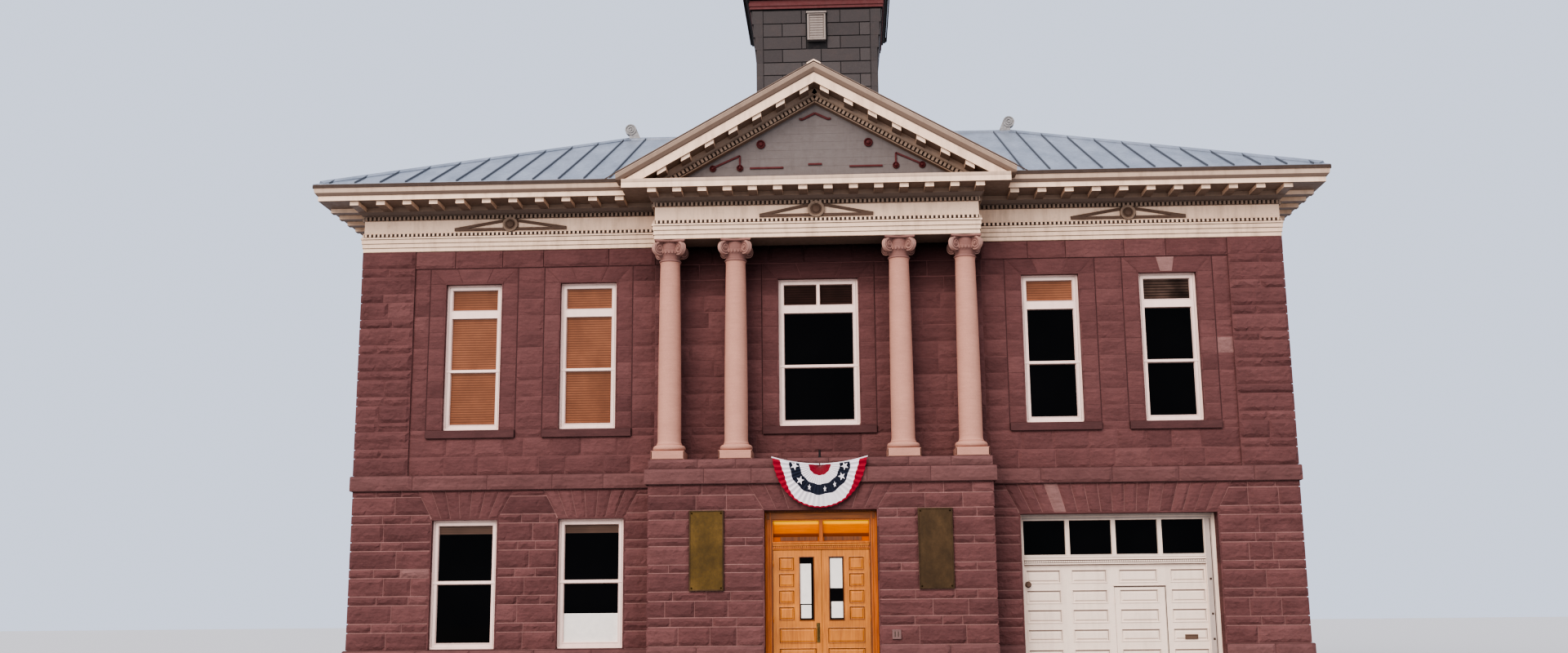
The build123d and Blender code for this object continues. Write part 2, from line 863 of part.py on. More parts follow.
def mitred_run(face, half_length, setback):
    """Build one straight run of the entablature with mitred ends."""
    reach = half_length + setback + cyma_reach
    inner = -wall - setback
    with BuildPart() as run:
        section_plane = Plane(
            origin=face.origin + face.x_dir * reach + face.z_dir * setback,
            x_dir=face.z_dir,
            z_dir=face.x_dir * -1,
        )
        with BuildSketch(section_plane) as section:
            with BuildLine():
                entablature_outline(inner, corona_reach, cornice_top, cyma_reach)
            make_face()
        extrude(section.sketch, amount=2 * reach)
        plan_plane = Plane(origin=face.origin, x_dir=face.x_dir, z_dir=(0, 0, -1))
        far = setback + cyma_reach
        with BuildSketch(plan_plane) as corners:
            with BuildLine():
                Polyline(
                    (wall - half_length, -wall),
                    (half_length - wall, -wall),
                    (half_length + far, far),
                    (-half_length - far, far),
                    close=True,
                )
            make_face()
        extrude(corners.sketch, amount=-2 * cornice_top, mode=Mode.INTERSECT)
    return run


with BuildPart() as portico_entablature:
    def tier(reach, low, high, low_reach=None):
        """Add one tier of the profile, on the front and both returns."""
        start = reach if low_reach is None else low_reach
        sizes = []
        for level, out in ((low, start), (high, reach)):
            with BuildSketch(Plane.XY.offset(level)) as plan:
                deep = wall + portico_proud + out
                with Locations((0, front_y + wall - deep / 2)):
                    Rectangle(2 * (portico_half + out), deep)
            sizes.append(plan.sketch)
        loft(sizes, ruled=True)

    level = wall_top
    reach = fascia_first
    for number in range(fascia_count):
        tier(reach, level, level + fascia_height)
        level += fascia_height
        reach += fascia_step
    tier(reach, level, architrave_cap)
    tier(fascia_step, architrave_cap, frieze_low)
    tier(0, frieze_low, frieze_high)
    tier(2 * fascia_step, frieze_high, bed_low)
    tier(bed_reach, bed_low, bracket_low, 2 * fascia_step)
    tier(bed_reach, bracket_low, corona_low)
    tier(portico_corona_reach, corona_low, portico_cornice_top)
save(portico_entablature, "portico_entablature")

# Pediment envelope, used to cut what runs into it
pediment_out = portico_proud
gable_back = -(ridge_level - pediment_apex) / roof_slope


def gable_outline(drop):
    """Draw half of the gable band below the sloping top, to the right of the middle."""
    with BuildLine() as edge:
        foot = pediment_apex - drop - portico_cornice_top
        Polyline(
            (0, pediment_apex),
            (pediment_half, pediment_apex - rake_slope * pediment_half),
            (pediment_half, portico_cornice_top),
            (foot / rake_slope, portico_cornice_top),
            (0, pediment_apex - drop),
            close=True,
        )
    make_face(edge.line)


gable_plane = FRONT.offset(pediment_out)
gable_run = abs(front_y - pediment_out - gable_back)
with BuildPart() as gable_envelope:
    with BuildSketch(gable_plane.offset(rake_reach)) as triangle:
        with BuildLine():
            eave = pediment_apex - rake_slope * pediment_half
            Polyline(
                (-pediment_half, portico_cornice_top),
                (pediment_half, portico_cornice_top),
                (pediment_half, eave),
                (0, pediment_apex),
                (-pediment_half, eave),
                close=True,
            )
        make_face()
    extrude(triangle.sketch, amount=-gable_run - rake_reach)


def hip_solid(drop):
    """Build the solid under the hip roof, lowered by a drop."""
    top = ridge_level - drop
    half_y = (top - cornice_top) / roof_slope
    if drop == 0:
        half_y = eave_half_y
    half_x = ridge_half + half_y
    with BuildPart() as hip:
        with BuildSketch(Plane.YZ.offset(-half_x)) as section:
            with BuildLine():
                shoulder = top - roof_slope * half_y
                points = [(-half_y, cornice_top), (half_y, cornice_top)]
                if shoulder > cornice_top:
                    points += [(half_y, shoulder), (0, top), (-half_y, shoulder)]
                else:
                    points.append((0, top))
                Polyline(*points, close=True)
            make_face()
        extrude(section.sketch, amount=2 * half_x)
        with BuildSketch(Plane.XZ.offset(half_y)) as ends:
            with BuildLine():
                points = [(-half_x, cornice_top), (half_x, cornice_top)]
                if shoulder > cornice_top:
                    points.append((half_x, shoulder))
                points += [(ridge_half, top), (-ridge_half, top)]
                if shoulder > cornice_top:
                    points.append((-half_x, shoulder))
                Polyline(*points, close=True)
            make_face()
        extrude(ends.sketch, amount=-2 * half_y, mode=Mode.INTERSECT)
    return hip.part


roof_volume = hip_solid(0)
attic_volume = hip_solid(roof_drop)


# Raking cornices, mitred at the apex
def raking_cornice(side):
    """Build the raking cornice on one side of the apex."""
    along = (side * math.cos(rake_angle), 0, -math.sin(rake_angle))
    outline_plane = Plane(
        origin=(0, front_y - pediment_out, pediment_apex),
        x_dir=(0, -1, 0),
        z_dir=along,
    )
    down = 1 if outline_plane.y_dir.Z < 0 else -1
    with BuildPart() as rake:
        with BuildSketch(outline_plane) as outline:
            with BuildLine():
                profile = [(0, 0), (rake_reach, 0), *rake_cyma]
                profile += [
                    (rake_corona, rake_cyma[-1][1]),
                    (rake_corona, rake_soffit),
                    (bed_reach, rake_soffit),
                    (bed_reach, rake_depth - fascia_step),
                    (0, rake_depth),
                ]
                Polyline(*[(out, down * depth) for out, depth in profile], close=True)
            make_face()
        length = rake_overrun * pediment_half / math.cos(rake_angle)
        extrude(outline.sketch, amount=length)
        extrude(outline.sketch, amount=(1 - rake_overrun) * length)
        with BuildSketch(gable_plane) as limits:
            with BuildLine():
                Polyline(
                    (0, portico_cornice_top),
                    (side * pediment_half, portico_cornice_top),
                    (side * pediment_half, pediment_apex),
                    (0, pediment_apex),
                    close=True,
                )
            make_face()
        extrude(limits.sketch, amount=rake_reach, mode=Mode.INTERSECT)
    return rake.part


right_rake = raking_cornice(1)
left_rake = raking_cornice(-1)
with BuildPart() as raking_cornices:
    add(right_rake)
    add(left_rake)
save(raking_cornices, "raking_cornices")

with BuildPart() as tympanum:
    with BuildSketch(gable_plane) as triangle:
        with BuildLine():
            rise = pediment_apex - deck_drop - portico_cornice_top
            Polyline(
                (-rise / rake_slope, portico_cornice_top),
                (rise / rake_slope, portico_cornice_top),
                (0, portico_cornice_top + rise),
                close=True,
            )
        make_face()
    extrude(triangle.sketch, amount=-tympanum_thick)
save(tympanum, "tympanum")

with BuildPart() as pediment_roof:
    with BuildSketch(gable_plane) as band:
        gable_outline(deck_drop)
        mirror(about=Plane.YZ)
    extrude(band.sketch, amount=-gable_run)
    add(attic_volume, mode=Mode.SUBTRACT)
save(pediment_roof, "pediment_roof")

# Wing entablatures, cut back to the portico
front_run = mitred_run(FRONT, half_width, frieze_proud)
back_run = mitred_run(BACK, half_width, frieze_proud)
with BuildPart() as long_entablatures:
    add(front_run.part)
    add(portico_entablature.part, mode=Mode.SUBTRACT)
    add(gable_envelope.part, mode=Mode.SUBTRACT)
    add(back_run.part)
save(long_entablatures, "long_entablatures")

left_run = mitred_run(LEFT, half_depth, frieze_proud)
right_run = mitred_run(RIGHT, half_depth, frieze_proud)
with BuildPart() as end_entablatures:
    add(left_run.part)
    add(right_run.part)
save(end_entablatures, "end_entablatures")


# Brackets under the cornices, spaced evenly on each run
def bracket_row(face, start, end, out):
    """Add a row of brackets from one centre to another to the open part."""
    count = max(round(abs(end - start) / bracket_pitch), 1)
    centres = [start + (end - start) * number / count for number in range(count + 1)]
    spans = [around(centre, bracket_width) for centre in centres]
    reach = (out + bed_reach, out + bracket_reach)
    blocks(face, with_heights(spans, (bracket_low, corona_low)), reach)


portico_bracket_reach = portico_corona_reach - portico_bracket_inset
with BuildPart() as cornice_brackets:
    inner_centre = portico_half + portico_corona_reach + bracket_from_portico
    outer_centre = half_width + frieze_proud + bed_reach - bracket_width / 2
    bracket_row(FRONT, inner_centre, outer_centre, frieze_proud)
    bracket_row(FRONT, -inner_centre, -outer_centre, frieze_proud)
    bracket_row(BACK, -outer_centre, outer_centre, frieze_proud)
    side_centre = half_depth + frieze_proud + bed_reach - bracket_width / 2
    bracket_row(LEFT, -side_centre, side_centre, frieze_proud)
    bracket_row(RIGHT, -side_centre, side_centre, frieze_proud)
    portico_count = round(2 * portico_half / portico_bracket_pitch)
    step = 2 * portico_half / portico_count
    centres = [number * step - portico_half for number in range(portico_count + 1)]
    spans = [around(centre, bracket_width) for centre in centres]
    reach = (portico_proud + bed_reach, portico_proud + portico_bracket_reach)
    blocks(FRONT, with_heights(spans, (bracket_low, corona_low)), reach)
save(cornice_brackets, "cornice_brackets")

# Brackets under the rakes. The foot of the last one clears the portico's cornice
rake_soffit_apex = pediment_apex - rake_soffit / math.cos(rake_angle)
rake_bracket_drop = rake_soffit_apex - rake_bracket_height - rake_bracket_clear - portico_cornice_top
rake_bracket_last = rake_bracket_drop / rake_slope - bracket_width / 2
rake_bracket_pitch = rake_bracket_last / (rake_bracket_count - 1 + rake_bracket_first)
with BuildPart() as pediment_brackets:
    for side in (-1, 1):
        for number in range(rake_bracket_count):
            centre = (number + rake_bracket_first) * rake_bracket_pitch
            top = rake_soffit_apex
            inner, outer = around(centre, bracket_width)
            with BuildSketch(FRONT.offset(pediment_out + bed_reach)) as cheek:
                with BuildLine():
                    Polyline(
                        (side * inner, top - rake_slope * inner),
                        (side * outer, top - rake_slope * outer),
                        (side * outer, top - rake_slope * outer - rake_bracket_height),
                        (side * inner, top - rake_slope * inner - rake_bracket_height),
                        close=True,
                    )
                make_face()
            extrude(cheek.sketch, amount=rake_bracket_reach - bed_reach)
save(pediment_brackets, "pediment_brackets")


# Hip roof in four slopes that meet at the hips and the ridge
def roof_slope_part(corners):
    """Build one slope over its share of the plan."""
    with BuildPart() as slope:
        with BuildSketch(Plane.XY.offset(cornice_top)) as share:
            with BuildLine():
                Polyline(*corners, close=True)
            make_face()
        extrude(share.sketch, amount=ridge_level)
        add(roof_volume, mode=Mode.INTERSECT)
        add(attic_volume, mode=Mode.SUBTRACT)
    return slope


front_corners = (
    (-eave_half_x, -eave_half_y),
    (eave_half_x, -eave_half_y),
    (ridge_half, 0),
    (-ridge_half, 0),
)
back_corners = [(-x, -y) for x, y in front_corners]
right_corners = ((eave_half_x, -eave_half_y), (eave_half_x, eave_half_y), (ridge_half, 0))
left_corners = [(-x, -y) for x, y in right_corners]

front_slope = roof_slope_part(front_corners)
with BuildPart() as roof_front:
    add(front_slope.part)
    add(gable_envelope.part, mode=Mode.SUBTRACT)
save(roof_front, "roof_front")

back_slope = roof_slope_part(back_corners)
save(back_slope, "roof_back")

left_slope = roof_slope_part(left_corners)
right_slope = roof_slope_part(right_corners)
with BuildPart() as roof_ends:
    add(left_slope.part)
    add(right_slope.part)
save(roof_ends, "roof_ends")

# Tower: walls that flare under a band, standing on the roof
with BuildPart() as tower_shaft:
    with BuildSketch(Plane.XY.offset(cornice_top)) as plan:
        Rectangle(2 * tower_half, 2 * tower_half)
    extrude(plan.sketch, amount=flare_low - cornice_top)
    flare_plane = Plane(origin=(0, 0, tower_top), x_dir=(1, 0, 0), z_dir=(0, 0, -1))
    with BuildSketch(flare_plane) as flare_head:
        Rectangle(2 * (tower_half + flare_out), 2 * (tower_half + flare_out))
    flare_taper = math.degrees(math.atan2(flare_out, tower_top - flare_low))
    extrude(flare_head.sketch, amount=tower_top - flare_low, taper=flare_taper)
    bore_half = tower_half - tower_wall
    with BuildSketch(Plane.XY.offset(cornice_top)) as bore:
        Rectangle(2 * bore_half, 2 * bore_half)
    extrude(bore.sketch, amount=tower_top - cornice_top, mode=Mode.SUBTRACT)
    add(roof_volume, mode=Mode.SUBTRACT)
    add(gable_envelope.part, mode=Mode.SUBTRACT)
save(tower_shaft, "tower_walls")

band_half = tower_half + flare_out + tower_band_proud
bed_top = tower_band_top + tower_bed_height
cornice_half = tower_half + tower_cornice_out
with BuildPart() as tower_cornice:
    for half, low, high in (
        (band_half, tower_top, tower_band_top),
        (band_half + tower_bed_proud, tower_band_top, bed_top),
        (cornice_half, bed_top, tower_cornice_top),
    ):
        with BuildSketch(Plane.XY.offset(low)) as plan:
            Rectangle(2 * half, 2 * half)
        extrude(plan.sketch, amount=high - low)
save(tower_cornice, "tower_cornice")

with BuildPart() as tower_vent:
    vent_height_span = (vent_top - vent_height, vent_top)
    face_out = tower_half + flare_out
    tower_face = Plane(origin=(0, 0, 0), x_dir=(1, 0, 0), z_dir=(0, -1, 0))
    block(tower_face, around(0, vent_width), vent_height_span, (tower_half, face_out + vent_proud))
    add(tower_shaft.part, mode=Mode.SUBTRACT)
save(tower_vent, "tower_vent")

# Belfry with an arch in each side, its roof and finial
belfry_top = tower_cornice_top + belfry_height
arch_radius = belfry_arch_width / 2
arch_spring = tower_cornice_top + belfry_arch_rise - arch_radius
arch_points = [(-arch_radius, tower_cornice_top), (arch_radius, tower_cornice_top)]
for number in range(belfry_arch_sides + 1):
    turn = math.pi * number / belfry_arch_sides
    arch_points.append((arch_radius * math.cos(turn), arch_spring + arch_radius * math.sin(turn)))

with BuildPart() as belfry:
    with BuildSketch(Plane.XY.offset(tower_cornice_top)) as plan:
        Rectangle(2 * belfry_half, 2 * belfry_half)
        inner_half = belfry_half - belfry_wall
        Rectangle(2 * inner_half, 2 * inner_half, mode=Mode.SUBTRACT)
    extrude(plan.sketch, amount=belfry_height)
    for cut_plane in (Plane.XZ, Plane.YZ):
        with BuildSketch(cut_plane.offset(-belfry_half)) as arch:
            with BuildLine():
                Polyline(*arch_points, close=True)
            make_face()
        extrude(arch.sketch, amount=2 * belfry_half, mode=Mode.SUBTRACT)
save(belfry, "belfry")

with BuildPart() as tower_roof:
    with BuildSketch(Plane.XY.offset(belfry_top)) as eaves:
        Rectangle(2 * spire_half, 2 * spire_half)
    extrude(eaves.sketch, amount=spire_eave)
    with BuildSketch(Plane.XY.offset(belfry_top + spire_eave)) as foot:
        Rectangle(2 * spire_half, 2 * spire_half)
    spire_taper = math.degrees(math.atan2(spire_half - spire_head, spire_height))
    extrude(foot.sketch, amount=spire_height, taper=spire_taper)
save(tower_roof, "tower_roof")

spire_top = belfry_top + spire_eave + spire_height
with BuildPart() as tower_finial:
    for (start, start_radius), (end, end_radius) in zip(finial_profile, finial_profile[1:]):
        drums([(0, 0)], (spire_top + start, spire_top + end), (start_radius, end_radius))
save(tower_finial, "tower_finial")


# Ridge and hip caps, with a scroll finial at each end of the ridge
def roof_cap(start, end):
    """Add one raised cap along a ridge or a hip to the open part."""
    path = Vector(*end) - Vector(*start)
    cap_plane = Plane(origin=start, x_dir=path.cross(Vector(0, 0, 1)), z_dir=path)
    up = 1 if cap_plane.y_dir.Z > 0 else -1
    with BuildSketch(cap_plane) as section:
        with BuildLine():
            Polyline(
                (-cap_width / 2, -up * cap_skirt),
                (cap_width / 2, -up * cap_skirt),
                (cap_width / 2, -up * cap_height / 2),
                (0, up * cap_height),
                (-cap_width / 2, -up * cap_height / 2),
                close=True,
            )
        make_face()
    extrude(section.sketch, amount=path.length)


with BuildPart() as roof_caps:
    eave_level = cornice_top + eave_lip
    for side in (-1, 1):
        ridge_end = (side * ridge_half, 0, ridge_level)
        tower_side = (side * tower_half, 0, ridge_level)
        roof_cap(tower_side, ridge_end)
        for way in (-1, 1):
            run = 1 - hip_foot_inset / eave_half_y
            foot_x = side * (ridge_half + eave_half_y * run)
            foot_z = eave_level + hip_foot_inset * roof_slope
            roof_cap((foot_x, way * eave_half_y * run, foot_z), ridge_end)
    add(roof_volume, mode=Mode.SUBTRACT)
    add(tower_shaft.part, mode=Mode.SUBTRACT)
save(roof_caps, "roof_caps")

with BuildPart() as ridge_finials:
    scroll_x, scroll_z = scroll_centre
    for side in (-1, 1):
        stem = (
            (0, -scroll_sunk),
            (scroll_foot, -scroll_sunk),
            (scroll_foot, 0),
            (scroll_x + scroll_radius * math.cos(rake_angle), scroll_z + scroll_radius / 2),
            (scroll_x, scroll_z),
            (0, scroll_radius),
        )
        with BuildSketch(Plane.XZ.offset(-scroll_thick / 2)) as scroll:
            with BuildLine():
                Polyline(*[(side * (ridge_half - x), ridge_level + z) for x, z in stem], close=True)
            make_face()
            with Locations((side * (ridge_half - scroll_x), ridge_level + scroll_z)):
                RegularPolygon(scroll_radius, scroll_sides)
        extrude(scroll.sketch, amount=scroll_thick)
    add(roof_volume, mode=Mode.SUBTRACT)
    add(roof_caps.part, mode=Mode.SUBTRACT)
save(ridge_finials, "ridge_finials")

# Plates on the entrance block
with BuildPart() as entrance_plaques:
    for span in ((plaque_inner, plaque_outer), (-plaque_outer, -plaque_inner)):
        outward = (block_proud, block_proud + plaque_thick)
        block(FRONT, span, (plaque_low, plaque_high), outward)
save(entrance_plaques, "entrance_plaques")

# Fan of bunting hung in front of the ledge, and the bracket above it
bunting_out = ledge_out + soft_gap
with BuildPart() as bunting:
    with BuildSketch(FRONT.offset(bunting_out)) as fan:
        with Locations((0, ledge_top)):
            Circle(bunting_radius)
        with Locations((0, ledge_top + bunting_radius)):
            Rectangle(3 * bunting_radius, 2 * bunting_radius, mode=Mode.SUBTRACT)
    extrude(fan.sketch, amount=bunting_thick)
save(bunting, "bunting")

with BuildPart() as flag_bracket:
    foot_out = block_proud - bracket_foot
    foot_top = ledge_top + bracket_foot_thick
    post_radius, post_height = bracket_post
    foot = around(foot_out, bracket_foot)
    block(FRONT, around(0, bracket_foot), (ledge_top, foot_top), foot)
    upright(0, foot_out, foot_top, foot_top + post_height, post_radius)
save(flag_bracket, "flag_bracket")
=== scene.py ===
"""Looks of the town hall: stones, trim, joinery, roof seams, cloth, lights and camera."""

import math

import bpy
import numpy as np
from mathutils import Matrix, Vector


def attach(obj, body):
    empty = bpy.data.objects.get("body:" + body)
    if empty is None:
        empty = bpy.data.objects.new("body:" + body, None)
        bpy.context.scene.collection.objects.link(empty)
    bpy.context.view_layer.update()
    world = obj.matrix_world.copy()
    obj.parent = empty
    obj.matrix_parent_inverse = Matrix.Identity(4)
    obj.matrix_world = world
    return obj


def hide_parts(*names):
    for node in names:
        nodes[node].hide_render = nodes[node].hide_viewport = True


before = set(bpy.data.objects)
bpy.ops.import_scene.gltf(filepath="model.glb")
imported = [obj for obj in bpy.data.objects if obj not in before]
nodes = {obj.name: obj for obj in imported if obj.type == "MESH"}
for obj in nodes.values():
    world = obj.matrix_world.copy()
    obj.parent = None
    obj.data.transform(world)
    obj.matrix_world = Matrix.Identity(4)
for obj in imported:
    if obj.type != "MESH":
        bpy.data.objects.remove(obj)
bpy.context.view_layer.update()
random = np.random.default_rng(7)


def place_camera():
    """Look up at the front from eye height, from a little to the right of the middle."""
    yaw, pitch, roll = -0.0387, 0.203, -0.0097
    eye = (0.5065, -35.711, 1.6328)
    focal_share, sensor, shift = 1900 / 1920, 36, -0.02297
    flat = math.cos(pitch)
    ahead = Vector((math.sin(yaw) * flat, math.cos(yaw) * flat, math.sin(pitch)))
    level = Vector((math.cos(yaw), -math.sin(yaw), 0))
    rise = level.cross(ahead)
    right = math.cos(roll) * level + math.sin(roll) * rise
    up = -math.sin(roll) * level + math.cos(roll) * rise
    lens = bpy.data.cameras.new("camera")
    lens.sensor_width = sensor
    lens.lens = focal_share * sensor
    lens.shift_y = shift
    lens.clip_end = 500
    camera = bpy.data.objects.new("camera", lens)
    turn = Matrix((right, up, -ahead)).transposed().to_4x4()
    camera.matrix_world = Matrix.Translation(eye) @ turn
    bpy.context.scene.collection.objects.link(camera)
    bpy.context.scene.camera = camera


place_camera()


# Materials
class Look:
    """A node material around one Principled shader, patterned in object coordinates."""

    def __init__(self, name, colour, rough, metallic=0.0, specular=0.5):
        self.material = bpy.data.materials.new(name)
        self.material.use_nodes = True
        self.tree = self.material.node_tree
        self.shader = self.tree.nodes["Principled BSDF"]
        self.set({"Base Color": (*colour, 1), "Roughness": rough})
        self.set({"Metallic": metallic, "Specular IOR Level": specular})
        self.place = self.node("ShaderNodeTexCoord").outputs["Object"]

    def set(self, inputs, node=None):
        """Link each input that is given a socket and set each other one to its value."""
        sockets = (node or self.shader).inputs
        for key, value in inputs.items():
            if isinstance(value, bpy.types.NodeSocket):
                self.tree.links.new(value, sockets[key])
            else:
                sockets[key].default_value = value

    def node(self, kind, inputs=None, **settings):
        made = self.tree.nodes.new(kind)
        for name, value in settings.items():
            setattr(made, name, value)
        self.set(inputs or {}, made)
        return made

    def noise(self, scale, detail=4.0, rough=0.6, stretch=(1, 1, 1), shift=None):
        """Noise in stretched coordinates, moved on by a value that differs per stone."""
        inputs = {"Scale": stretch, "Vector": self.place}
        if shift is not None:
            jump = {0: (31.0, 17.0, 23.0), "Scale": shift}
            moved = self.node("ShaderNodeVectorMath", jump, operation="SCALE")
            inputs["Location"] = moved.outputs[0]
        place = self.node("ShaderNodeMapping", inputs).outputs[0]
        inputs = {"Scale": scale, "Detail": detail, "Roughness": rough, "Vector": place}
        return self.node("ShaderNodeTexNoise", inputs).outputs["Fac"]

    def ramp(self, value, stops, interpolation="LINEAR"):
        made = self.node("ShaderNodeValToRGB", {0: value})
        line = made.color_ramp
        line.interpolation = interpolation
        while len(line.elements) < len(stops):
            line.elements.new(0.5)
        for element, (position, colour) in zip(line.elements, stops):
            element.position = position
            element.color = (*colour, 1)
        return made.outputs[0]

    def grey(self, value, low, high, dark=0.0, light=1.0):
        return self.ramp(value, [(low, (dark,) * 3), (high, (light,) * 3)])

    def mix(self, first, second, amount, blend="MIX"):
        inputs = {0: amount, 6: first, 7: second}
        for key in (6, 7):
            if isinstance(inputs[key], tuple):
                inputs[key] = (*inputs[key], 1)
        return self.node("ShaderNodeMix", inputs, data_type="RGBA", blend_type=blend).outputs[2]

    def vary(self, body, value, low, high, dark, light, amount):
        """Multiply a colour by a factor that runs from dark to light as value goes low to high."""
        return self.mix(body, self.grey(value, low, high, dark, light), amount, "MULTIPLY")

    def tone(self):
        return self.node("ShaderNodeAttribute", attribute_name="tone").outputs["Fac"]

    def axes(self, vector):
        return self.node("ShaderNodeSeparateXYZ", {0: vector}).outputs

    def span(self, value, low, high):
        inputs = {"Value": value, "From Min": low, "From Max": high}
        return self.node("ShaderNodeMapRange", inputs).outputs[0]

    def underside(self, body, dark):
        """Mix in a dark colour where the surface faces down: painted shade on undersides."""
        normal = self.node("ShaderNodeNewGeometry").outputs["Normal"]
        return self.mix(body, dark, self.span(self.axes(normal)["Z"], -0.12, -0.7))

    def done(self, body, rough, bumps, strength):
        """Link the colour, the roughness (value, low, high) and bumps (height, metres)."""
        self.set({"Base Color": body})
        if rough:
            value, low, high = rough
            self.set({"Roughness": self.grey(value, 0.3, 0.7, low, high)})
        inputs = {"Strength": strength}
        for height, distance in bumps:
            inputs.update({"Height": height, "Distance": distance})
            inputs["Normal"] = self.node("ShaderNodeBump", inputs).outputs[0]
        self.set({"Normal": inputs["Normal"]})
        return self.material


def stone_look(name, stops, grain=0.006, mottle=0.35):
    """Sandstone: a tone for each stone, bedding streaks, stains and a grain."""
    look = Look(name, stops[1][1], 0.88, specular=0.25)
    tone = look.tone()
    beds = look.noise(3.0, 3, 0.65, (1.2, 1.2, 9.0), tone)
    stains = look.noise(2.2, 3, 0.6, shift=tone)
    grains = look.noise(70, 2, 0.7, shift=tone)
    chips = look.noise(14, 4, 0.62, (1, 1, 1.7), tone)
    body = look.vary(look.ramp(tone, stops), beds, 0.3, 0.72, 0.62, 1.28, mottle)
    body = look.vary(body, stains, 0.35, 0.7, 0.7, 1.2, mottle)
    body = look.vary(body, grains, 0.3, 0.7, 0.72, 1.25, 0.3)
    return look.done(body, (grains, 0.8, 0.97), [(chips, grain * 3), (grains, grain * 0.5)], 0.8)


PALE_STONE = (1.0, (0.28, 0.168, 0.15))
ROCK = [(0.0, (0.020, 0.008, 0.007)), (0.2, (0.088, 0.038, 0.037)), (0.5, (0.148, 0.066, 0.062))]
ROCK += [(0.7, (0.188, 0.090, 0.084)), PALE_STONE]
DRESSED = [(0.0, (0.098, 0.045, 0.043)), (0.5, (0.156, 0.075, 0.070)), PALE_STONE]
SMOOTH = [(0.0, (0.37, 0.190, 0.146)), (0.5, (0.46, 0.245, 0.186)), (1.0, (0.52, 0.29, 0.224))]
CARVED = [(0.0, (0.13, 0.066, 0.056)), (0.5, (0.27, 0.145, 0.122)), (1.0, (0.42, 0.25, 0.205))]
rock = stone_look("rock_faced_sandstone", ROCK)
dressed = stone_look("dressed_sandstone", DRESSED, 0.003)
column_stone = stone_look("smooth_column_stone", SMOOTH, 0.0012, 0.14)
capital_stone = stone_look("carved_capital_stone", CARVED, 0.0015, 0.25)


def mortar_look():
    """Wall backing: light pointing low down and darker pointing on the upper storey."""
    look = Look("pointing_mortar", (0.22, 0.11, 0.10), 0.92, specular=0.2)
    tens = {0: look.axes(look.place)["Z"], 1: 10.0}
    height = look.node("ShaderNodeMath", tens, operation="DIVIDE").outputs[0]
    sand = look.noise(45, 2, 0.7)
    patches = look.noise(1.7, 3, 0.6)
    body = look.ramp(height, [(0.42, (0.26, 0.145, 0.13)), (0.45, (0.17, 0.080, 0.075))])
    body = look.vary(body, patches, 0.35, 0.7, 0.6, 1.25, 0.6)
    body = look.vary(body, sand, 0.3, 0.7, 0.8, 1.2, 0.5)
    return look.done(body, (sand, 0.85, 0.98), [(sand, 0.004)], 0.7)


mortar = mortar_look()


def paint_look(name, colour, dirt, grime=0.5, rough=0.45, shade=None, shade_bands=None, lean=0.0):
    """Painted timber: weathering, grain, dirt in runs, painted shade on undersides and in bands.

    The shade bands go by height, or with a lean by height over a slope that falls to both sides.
    """
    look = Look(name, colour, rough, specular=0.4)
    runs = look.noise(1.1, 3, 0.65, (5.0, 5.0, 0.8))
    spots = look.noise(9, 3, 0.7)
    grain = look.noise(14, 2, 0.6, (1.0, 1.0, 18.0))
    body = look.mix(colour, dirt, look.grey(runs, 0.48, 0.78, 0.0, grime))
    body = look.mix(body, dirt, look.grey(spots, 0.6, 0.85, 0.0, grime * 0.7))
    body = look.vary(body, grain, 0.3, 0.7, 0.9, 1.06, 0.6)
    # Bands of painted shade by height, under the soffits and along the cornices' edges
    if shade_bands:
        axes = look.axes(look.place)
        level = axes["Z"]
        if lean:
            aside = look.node("ShaderNodeMath", {0: axes["X"]}, operation="ABSOLUTE").outputs[0]
            sloping = {0: aside, 1: lean, 2: level}
            level = look.node("ShaderNodeMath", sloping, operation="MULTIPLY_ADD").outputs[0]
        low, high = shade_bands[0][0] - 0.05, shade_bands[-1][0] + 0.05
        stops = [((height - low) / (high - low), (amount,) * 3) for height, amount in shade_bands]
        body = look.mix(body, shade, look.ramp(look.span(level, low, high), stops))
    # Painted shade where the surface faces down
    if shade:
        body = look.underside(body, shade)
    return look.done(body, (spots, rough, rough + 0.25), [(grain, 0.0012), (spots, 0.0015)], 0.5)


# The pediment's roof line: its point and its fall for each metre aside
APEX = 12.44
SLOPE = 2.25 / 3.975

CREAM = ((0.78, 0.57, 0.415), (0.38, 0.26, 0.18))
# SOFFIT is the colour of the painted shade, on undersides and in the bands below
SOFFIT = (0.165, 0.115, 0.088)
# Bands of painted shade by height: under the soffit, along the edges and down the cyma from the
# roof's edge
CORNICE_SHADE_BANDS = [(8.936, 0.9), (8.942, 0.0), (9.6, 0.0), (9.625, 0.7), (9.862, 0.8), (9.868, 0.0)]
CORNICE_SHADE_BANDS += [(9.965, 0.0), (9.975, 0.7), (9.99, 0.45), (10.1, 0.32), (10.14, 0.45)]
CORNICE_SHADE_BANDS.append((10.15, 0.8))
RAKE_SHADE_BANDS = [(12.0, 0.3), (12.03, 0.0), (12.215, 0.0), (12.222, 0.8), (12.236, 0.8), (12.243, 0.6)]
RAKE_SHADE_BANDS += [(12.37, 0.5), (12.383, 0.75), (12.395, 0.45), (12.42, 0.5), (12.43, 0.9)]
SASH_SHADE, DOOR_SHADE = (0.34, 0.25, 0.22), (0.30, 0.22, 0.18)

